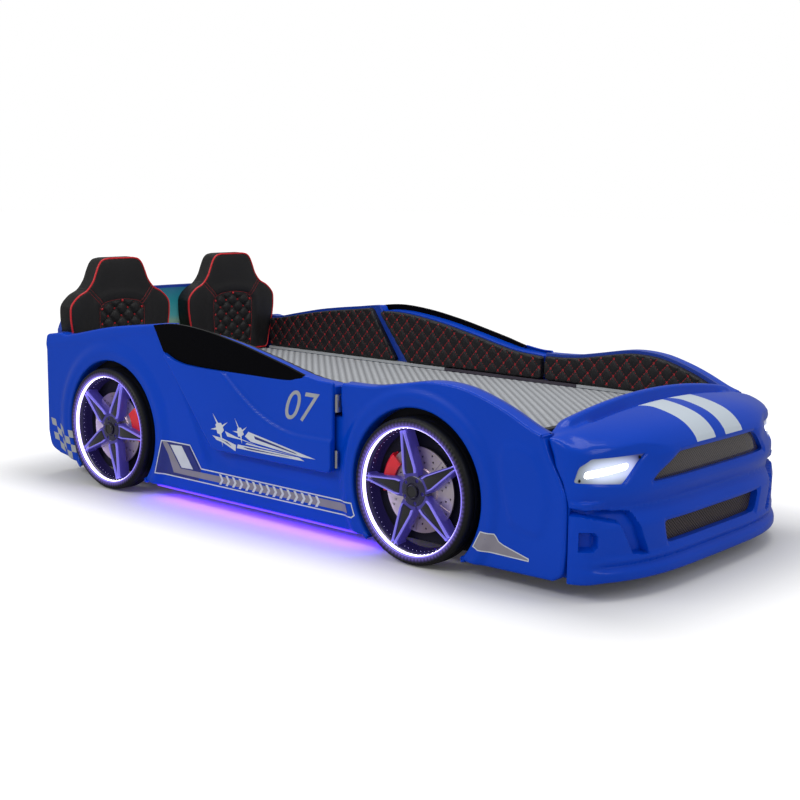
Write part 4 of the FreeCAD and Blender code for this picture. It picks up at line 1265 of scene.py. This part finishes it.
seat = on_seat(moulded("seat_cushion_right", SEAT_LINE, edge=8.0, depth=SEAT_THICK, cell=3.2,
                       relief=seat_relief, back="shut", walls=((20, 1.5), (40, 1.5))))
piping = tube("seat_piping_right", [(y, z, -1.6) for y, z in drawn_in(spaced(SEAT_LINE, 4.0), 1.6)], 3.1)
sewn = [along(seam, 4.6) for seam in YOKE_SEAMS] + [along(curve(INSET_TOP, 5), 5.0)]
seams = strewn("seat_seams_right", stitch(3.4, 1.1, 1.3), with_height(np.vstack(sewn), seat_relief, 0.5))
tuft_stitches = diagonal_places(drawn_in(spaced(INSET_LINE), 5.0), *TUFTS, 6)[0]
tuft_knots = diagonal_places(drawn_in(spaced(INSET_LINE), 3.0), *TUFTS)[1]
tuft_thread = strewn("seat_tuft_thread_right", stitch(4.6, 1.0, 1.3),
                     with_height(tuft_stitches, seat_relief, 0.3))
buttons = strewn("seat_buttons_right", knot(4.6, 3.2), with_height(tuft_knots, seat_relief, 1.0))
both_sides(smoothed(seat, 60), "bed", "seat_leather", "seat_*", fill=0.85)
both_sides(on_seat(piping), "bed", "", finish="knot_red")
both_sides(on_seat(seams), "bed", "", finish="seam_red")
both_sides(on_seat(tuft_thread), "bed", "", finish="seam_red")
both_sides(smoothed(on_seat(buttons), 80), "bed", "", finish="knot_red")

# ---- mattress --------------------------------------------------------------------------------
MATTRESS = (-1064.0, 836.0, 444.0)
MATTRESS_TOP, MATTRESS_BASE = 347.0, 186.0
MATTRESS_LINE = softened([(MATTRESS[0], -MATTRESS[2]), (MATTRESS[1], -MATTRESS[2]),
                          (MATTRESS[1], MATTRESS[2]), (MATTRESS[0], MATTRESS[2])], 40)


def mattress_relief(u, v):
    """A crowned top with slanting ribs, broken by small crosswise rows."""
    ribs = np.abs(np.sin(np.pi * (u + v) / MATTRESS_PITCH))
    rows = np.abs(np.sin(np.pi * (u - v) / MATTRESS_PITCH * 2))
    edge = away_from(MATTRESS_LINE + MATTRESS_LINE[:1], u, v)[0]
    return (2.6 * ribs + 0.7 * rows - 2.0) * ramp(edge, 4, 30) + 5.0 * (1 - (v / MATTRESS[2]) ** 2)


mattress = moulded("mattress_cover", MATTRESS_LINE, edge=24.0,
                   depth=MATTRESS_TOP - MATTRESS_BASE, cell=5.0, relief=mattress_relief, back="shut",
                   walls=((60, 3.0), (100, 3.5), (140, 2.0)))
set_points(mattress, (points_of(mattress) + (0, 0, MATTRESS_TOP)) * MM)
fitted(smoothed(mattress, 60), "bed", "mattress_fabric", "mattress", fill=0.9)
for cord_name, drop in (("mattress_piping_top", 24.0), ("mattress_piping_bottom", 140.0)):
    rim = drawn_in(spaced(MATTRESS_LINE, 20.0), -1.0)
    cord = tube(cord_name, [(x * MM, y * MM, (MATTRESS_TOP - drop) * MM) for x, y in rim], 2.6 * MM)
    fitted(cord, "bed", "", finish="film_silver")

# ---- wheels ----------------------------------------------------------------------------------
# A wheel is drawn round the origin: X and Y across it, Z outwards from the car's middle.
SPOKES = 5
BARREL_R = 158.0
NUT_CIRCLE_R, FIRST_NUT, NUT_R = 31.5, 36, 3.6
SPOKE_FACE, SPOKE_BACK = 509.0, 468.0


def turned(name, profile, steps=120, sharp=35):
    """A closed profile of radius and height, turned round the Z axis."""
    piece = renamed(added(bpy.ops.mesh.primitive_circle_add, vertices=len(profile)), name)
    set_points(piece, [(radius, 0, height) for radius, height in profile])
    edit(piece, ALL, (bpy.ops.mesh.spin, {"steps": steps, "angle": 2 * math.pi, "center": (0, 0, 0),
                                          "axis": (0, 0, 1)}),
         ALL, (bpy.ops.mesh.remove_doubles, {"threshold": 0.01}), OUTWARDS)
    return smoothed(piece, sharp)


def spun_copies(piece, count, name):
    """A piece and its copies evenly round the wheel, as one."""
    copies = []
    for index in range(1, count):
        twin = copied(piece, f"{name}_{index}")
        turn = np.array(Matrix.Rotation(2 * math.pi * index / count, 3, "Z"))
        set_points(twin, points_of(twin) @ turn.T)
        copies.append(twin)
    return renamed(joined(piece, *copies), name)


def bar(name, outline_points, low, high, bevel):
    """A flat bar of an outline between two heights, with rounded edges."""
    return apply(prism(outline_points, low, high, name), "BEVEL", width=bevel, segments=2,
                 limit_method="ANGLE", angle_limit=math.radians(30))


def leaning(piece, rise, start, end):
    """Raises a bar's front, more towards the rim."""
    points = points_of(piece)
    front = points[:, 2] > points[:, 2].mean()
    points[:, 2] += np.where(front, rise * ramp(points[:, 0], start, end), 0.0)
    set_points(piece, points)
    return piece


def spoke_pieces():
    """One spoke along +X: a deep web, a black channel and a ridge on either side of it."""
    web = bar("spoke_webs", [(20, -21), (52, -24), (92, -18), (150, -8), (159, -13), (159, 13),
                             (150, 8), (92, 18), (52, 24), (20, 21)], SPOKE_BACK, SPOKE_FACE - 7, 1.2)
    channel = bar("spoke_channels", [(47, -16), (60, -17), (150, -4), (150, 4), (60, 17), (47, 16)],
                  SPOKE_FACE - 9, SPOKE_FACE - 5, 0.8)
    ridges = []
    for side in (-1, 1):
        line = [(along_spoke, side * off) for along_spoke, off in (
            (46, 15.8), (60, 16.6), (150, 3.6), (157, 4.2), (157, 6.2), (150, 6.0), (60, 19.4), (46, 18.6))]
        ridges.append(leaning(bar("ridge", line[::side], SPOKE_FACE - 8, SPOKE_FACE, 1.4), 2.5, 50, 150))
    return web, channel, joined(*ridges)


def wheel_pieces():
    """Every piece of one wheel with its slot, its finish and the node that it stands for."""
    tyre = turned("tyre", [(168.5, 458), (183, 458), (188, 459.5), (190.6, 463), (191, 468),
                           (190.2, 474), (190.2, 475.5), (191, 477), (191, 489), (190.2, 490.5),
                           (190.2, 492), (191, 493.5), (191, 505), (190.2, 510), (188, 514.5),
                           (185, 517.2), (181.5, 518.6), (180.6, 518.0), (179.6, 518.8), (175, 519),
                           (171.5, 518.4), (169.6, 516.8), (168.8, 514)], 144, 50)
    barrel = turned("rim_barrel", [(168.5, 516), (167.2, 517.2), (165.8, 516.6), (165.4, 515),
                                   (165.4, 500), (160, 497), (BARREL_R, 492), (BARREL_R - 2, 470),
                                   (BARREL_R - 5, 460), (168.5, 458)], 120, 40)
    band = turned("led_band", [(165.2, 502.5), (165.2, 514.5), (163.8, 514.0), (163.8, 503)], 96, 30)
    lip = turned("led_lip", [(168.4, 515.6), (168.4, 517.4), (167.4, 518.0), (166.2, 517.4),
                             (166.2, 515.6)], 120, 40)
    bead = strewn("led_beads", knot(1, 1), round_places(72, 163.2, 508.6))
    # painted reflection: a dim row of glowing dots on the barrel stands in for the LED ring's reflection in
    # it
    painted_reflection = strewn("led_glints", knot(0.7, 0.7), round_places(72, BARREL_R - 0.3, 489.0))
    # painted shade: a thin black disc behind the tyre fills the arch and the gaps between the spokes, where
    # there is shade
    well = turned("wheel_well", [(0, 458.4), (218, 458.4), (218, 460.4), (0, 460.4)], 96)
    box = prism([(-300, -WHEEL_Z + 56), (300, -WHEEL_Z + 56), (300, 300), (-300, 300)], 400, 600)
    cut(well, box, "INTERSECT")
    web, channel, ridge = [smoothed(spun_copies(piece, SPOKES, name), 35) for piece, name in zip(
        spoke_pieces(), ("spoke_webs", "spoke_channels", "spoke_ridges"))]
    hub = turned("hub_boss", [(0.0, 462), (44, 462), (44, 496), (42, 500), (38, 503), (32, 504.5),
                              (22, 505), (20, 503), (0.0, 503)], 80, 40)
    pocket = turned("pocket", [(0, 494), (5.2, 494), (5.2, 520), (0, 520)], 20)
    nuts = []
    for x, y, _, _ in round_places(SPOKES, NUT_CIRCLE_R, 0, FIRST_NUT):
        tool = copied(pocket, "pocket_tool")
        set_points(tool, points_of(tool) + (x, y, 0))
        cut(hub, tool, solver="EXACT")
        corners = [(x + a, y + b) for a, b, _, _ in round_places(6, NUT_R, 0)]
        nuts.append(bar("nut", corners, 493, 501, 0.6))
    bpy.data.objects.remove(pocket)
    cap = turned("cap", [(0, 503), (17.5, 503), (18, 507), (17.4, 510.5), (15.5, 512.2), (13.6, 511.6),
                         (12.8, 510.2), (0, 510.8)], 64, 40)
    nuts = smoothed(renamed(joined(*nuts), "wheel_nuts"), 35)
    return [(well, "", "well_painted_shade", ""), (tyre, "tyre_black", None, "tyre"),
            (barrel, "rim_gunmetal", None, "rim"), (band, "led_ring_white", None, "led_ring"),
            (lip, "", "lip_violet", ""), (bead, "", "led_bead", ""), (painted_reflection, "", "led_glint", ""),
            (web, "", "spoke_violet", ""), (channel, "", "cap_black", ""),
            (ridge, "", "ridge_painted_highlight", ""), (smoothed(hub, 40), "", "hub_black", ""),
            (nuts, "", "nut_dark", ""), (cap, "cap_black", None, "hub_caps")]


def round_places(count, radius, height, first=0):
    """Places evenly round a circle, each with its direction, from a first angle in degrees."""
    angles = math.radians(first) + np.arange(count) * 2 * math.pi / count
    return [(radius * math.cos(angle), radius * math.sin(angle), height, angle) for angle in angles]


for piece, slot, finish, node in wheel_pieces():
    for axle, wheel_x in WHEELS.items():
        spin = 0.0 if piece.name.startswith("wheel_well") else FIRST_SPOKE[axle]
        turn = np.array(Matrix.Rotation(math.radians(spin), 3, "Z"))
        placed = copied(piece, f"{piece.name.split('.')[0]}_{axle}_right")
        set_points(placed, points_of(placed) @ turn.T + (wheel_x, WHEEL_Z, 0))
        outside_right(placed, 0.0)
        own_node = f"{node}_{axle}_*" if node in ("tyre", "rim", "led_ring") else node
        both_sides(placed, "bed", slot, own_node, finish=finish)
    bpy.data.objects.remove(piece)

# ---- stick-on films ----------------------------------------------------------------------------
def film(name, loops, relief, holes=(), cell=9.0, lift=0.5):
    """Thin films that follow a moulded face; each loop is one film's outline."""
    films = []
    for loop in loops:
        outer = spaced(loop, 9.0)
        sheet = grid_block(outer.min(0) - 2, outer.max(0) + 2, cell)
        cut(sheet, prism(outer, -TOOL_REACH, TOOL_REACH), "INTERSECT")
        for hole in holes:
            cut(sheet, prism(spaced(hole, 9.0), -TOOL_REACH, TOOL_REACH))
        keep_top(sheet)
        points = points_of(sheet)
        points[:, 2] = relief(points[:, 0], points[:, 1]) + lift
        set_points(sheet, points)
        films.append(sheet)
    piece = renamed(joined(*films), name)
    return apply(piece, "SOLIDIFY", thickness=0.35, offset=-1.0)


def stuck(piece, body, base, finish):
    """Puts a flat film on the right side and its mirror image on the left."""
    smoothed(outside_right(renamed(piece, f"{piece.name}_right"), base), 40)
    both_sides(piece, body, "", finish=finish)


def star(centre, tips, waist):
    """A star through its tips, drawn in to a waist between them."""
    loop = []
    for tip, after in zip(tips, tips[1:] + tips[:1]):
        inner = [(a + b) / 2 for a, b in zip(tip, after)]
        loop += [tip, tuple(c + (i - c) * waist for c, i in zip(centre, inner))]
    return loop


ARCH_CLEAR = ARCH_R + 12
SILL_FIELD = [(-536, 84), (-502, 191), (-379, 192), (-329, 128), (-344, 86)]
SILL_FILM = SILL_FIELD[:4] + [
    (WHEELS["front"] - ARCH_CLEAR * math.cos(angle), WHEEL_Z - ARCH_CLEAR * math.sin(angle))
    for angle in np.radians([17, 20, 23, 26])] + [(285, 86)]
GREY_BAND = [(-497, 186), (-483, 187), (-423, 114), (-200, 117), (262, 119), (269, 97), (-455, 97)]
WHITE_BAR = [(-470, 180), (-417, 183), (-366, 119), (-418, 117)]
SLANT_BAR = [(-402, 182), (-384, 184), (-338, 125), (-357, 122)]
CHEVRON = [(0, 15), (9, 15), (19, 0), (9, -15), (0, -15), (10, 0)]
CHEVRONS = [[(-250 + 28 * index + x, 107.5 + z) for x, z in CHEVRON] for index in range(15)]
FRONT_FILM = [(691, 85), (714, 128), (754, 128), (767, 111), (781, 105), (857, 85), (857, 77),
              (709, 78)]

for film_name, loops, holes, lift, finish in (
        ("sill_field", [SILL_FIELD], [], 0.4, "film_navy"),
        ("sill_border", [SILL_FILM], [ringed(SILL_FILM, 3.4)], 0.8, "film_white"),
        ("sill_band", [GREY_BAND], [], 0.9, "film_grey"),
        ("sill_bar", [WHITE_BAR], [], 1.3, "film_white"),
        ("sill_slant", [SLANT_BAR], [], 1.3, "film_navy"),
        ("sill_chevrons", CHEVRONS, [], 1.4, "film_white"),
        ("front_film", [FRONT_FILM], [], 0.4, "film_grey"),
        ("front_border", [FRONT_FILM], [ringed(FRONT_FILM, 2.6)], 0.8, "film_white")):
    stuck(film(film_name, loops, side_relief, holes, lift=lift), "bed", SIDE_Y, finish)

STARS = [star((-219, 266), [(-248, 306), (-212, 282), (-184, 288), (-200, 262), (-205, 214), (-228, 250),
                            (-258, 258), (-236, 275)], 0.52),
         star((-132, 264), [(-154, 303), (-128, 279), (-104, 284), (-116, 261), (-124, 233), (-140, 252),
                            (-163, 265), (-144, 273)], 0.52)]
STREAKS = [[(-98, 271), (166, 230), (112, 229), (-88, 244), (-112, 256)],
           [(-196, 260), (-150, 250), (-60, 236), (-128, 244), (-186, 246)],
           [(-250, 241), (-206, 238), (-150, 226), (-152, 208), (-206, 226), (-232, 230)],
           [(-142, 229), (-20, 228), (104, 226), (124, 219), (-30, 217), (-146, 218)],
           [(-104, 238), (20, 232), (100, 229), (-20, 231), (-110, 234)]]
STREAK_GAPS = [[(-74, 262), (90, 237), (96, 234), (-70, 254)], [(-120, 225), (80, 223), (-100, 221)],
               [(-226, 236), (-186, 230), (-168, 220), (-200, 231)]]
for film_name, loops, lift, finish in (("door_streaks", STREAKS, 0.5, "film_white"),
                                       ("door_stars", STARS, 0.9, "film_white"),
                                       ("door_streak_gaps", STREAK_GAPS, 1.0, "film_navy")):
    stuck(film(film_name, loops, door_relief, cell=5.0, lift=lift), "*_door", DOOR_Y - CREASE_RISE,
          finish)


def door_number(side, text, size, shear, turn):
    """A number in thick strokes on one door; turn -1 lets it read properly on the left."""
    words = added(bpy.ops.object.text_add)
    words.data.body = text
    words.data.size = size
    words.data.shear = shear
    words.data.align_x = "CENTER"
    words.data.align_y = "CENTER"
    words.data.extrude = 0.2
    bpy.ops.object.convert(target="MESH")
    digits = renamed(bpy.context.object, f"door_number_{side}")
    if turn < 0:
        edit(digits, ALL, TURN_FACES)
    set_points(digits, points_of(digits) * (turn, 1, 1) + NUMBER_PLACE)
    return smoothed(outside_right(digits, DOOR_Y - CREASE_RISE), 40)


NUMBER_PLACE = (88, 362, 0.5)
turned_number = door_number("turned", "07", 118.0, 0.35, -1)
fitted(mirrored(turned_number, "door_number_left"), "left_door", "", finish="film_silver")
fitted(door_number("right", "07", 118.0, 0.35, 1), "right_door", "", finish="film_silver")
bpy.data.objects.remove(turned_number)

CHECK, CHECK_ROWS, CHECK_COLUMNS = 25.0, 4, 5
FLAG_CORNER = (-1080.0, 186.0)


def waved(u, v):
    """A place on the waving flag at the rear, counted in its squares."""
    x = FLAG_CORNER[0] + CHECK * u + 7.0 * v
    return x, FLAG_CORNER[1] - 0.92 * CHECK * v - 6.0 * u + 5.0 * math.sin(1.3 * u + 0.5)


CHECKS = [[waved(column + right, row + down) for right, down in ((0, 0), (1, 0), (1, 1), (0, 1))]
          for column in range(CHECK_COLUMNS) for row in range(CHECK_ROWS) if (column + row) % 2 == 0]
stuck(film("rear_flag", CHECKS, side_relief, cell=6.0), "bed", SIDE_Y, "film_silver")

# ---- camera, light and floor ---------------------------------------------------------------
YAW, PITCH, ROLL = 0.71572817, 0.15884724, 0.01367551
CAMERA_PLACE = (2.68767, -3.07707, 0.96923)
back_way = Vector((math.sin(YAW) * math.cos(PITCH), -math.cos(YAW) * math.cos(PITCH), math.sin(PITCH)))
right_way = Vector((0, 0, 1)).cross(back_way).normalized()
up_way = back_way.cross(right_way)
right_rolled = math.cos(ROLL) * right_way + math.sin(ROLL) * up_way
up_rolled = -math.sin(ROLL) * right_way + math.cos(ROLL) * up_way
lens = bpy.data.cameras.new("camera")
lens.sensor_width, lens.lens = 36.0, 61.25
camera = bpy.data.objects.new("camera", lens)
bpy.context.scene.collection.objects.link(camera)
turn = Matrix((right_rolled, up_rolled, back_way)).transposed()
camera.matrix_world = Matrix.Translation(CAMERA_PLACE) @ turn.to_4x4()
bpy.context.scene.camera = camera

studio = bpy.data.worlds.new("studio")
bpy.context.scene.world = studio
studio.use_nodes = True
sky = Nodes(studio.node_tree)
backdrop = sky.tree.nodes["Background"]
backdrop.inputs["Color"].default_value = (1, 1, 1, 1)
sky.tree.links.new(sky.by_ray(1.0, 0.32, 0.6, 0.50).socket, backdrop.inputs["Strength"])

floor = renamed(added(bpy.ops.mesh.primitive_plane_add, size=60), "floor")
BED_REACH = (1.05, 0.48, 0)


def beyond_bed(made):
    """How far a place on the floor lies outside the bed, in metres."""
    beyond = made.where()
    for operation, other in (("ABSOLUTE", None), ("SUBTRACT", BED_REACH), ("MAXIMUM", (0, 0, 0))):
        inputs = {0: beyond} if other is None else {0: beyond, 1: other}
        beyond = made.node("ShaderNodeVectorMath", {"operation": operation}, inputs)
    return made.node("ShaderNodeVectorMath", {"operation": "LENGTH"}, {0: beyond}, output="Value")


paper = Finish("paper", (0.8, 0.8, 0.8), 0.8, specular=0.1, glow=(1, 1, 1))
reach = beyond_bed(paper)
close, far = reach.eased(0.0, 0.55), reach.eased(1.2, 3.0)
paper.feed("Base Color", paper.by_ray(0.80, 0.34, 0.6, 0.70) * (1.0 - far))
near_lift = paper.by_ray(0.52, 0.0, 0.1, 0.0) * (close * 0.95 + 0.05)
paper.feed("Emission Strength", near_lift + paper.by_ray(0.55, 0.3, 0.5, 0.5) * far)
dressed(floor, "paper")


def softbox(name, place, aim, size, power):
    """A soft square lamp pointed at a place."""
    light = bpy.data.lights.new(name, "AREA")
    light.shape = "RECTANGLE"
    light.size, light.size_y = size
    light.energy = power
    lamp = bpy.data.objects.new(name, light)
    bpy.context.scene.collection.objects.link(lamp)
    lamp.location = place
    lamp.rotation_euler = (Vector(aim) - Vector(place)).to_track_quat("-Z", "Y").to_euler()
    return lamp


softbox("overhead", (0.0, 0.2, 3.2), (0, 0, 0.3), (4.2, 0.9), 50.0)
softbox("side", (-0.8, -3.8, 3.0), (0, -0.5, 0.3), (4.0, 0.7), 66.0)
softbox("front", (4.2, -0.4, 2.4), (1.0, 0, 0.3), (0.6, 1.8), 16.0)

for side in (-1, 1):
    for name, place_y, aim_y, power in (("sill_glow", 0.452, 0.60, 1.1), ("sill_wash", 0.43, 0.47, 0.8)):
        glow = softbox(name, (-0.12, side * place_y, 0.045), (-0.12, side * aim_y, 0.0), (0.88, 0.02),
                       power)
        glow.data.color = (0.13, 0.03, 1.0)
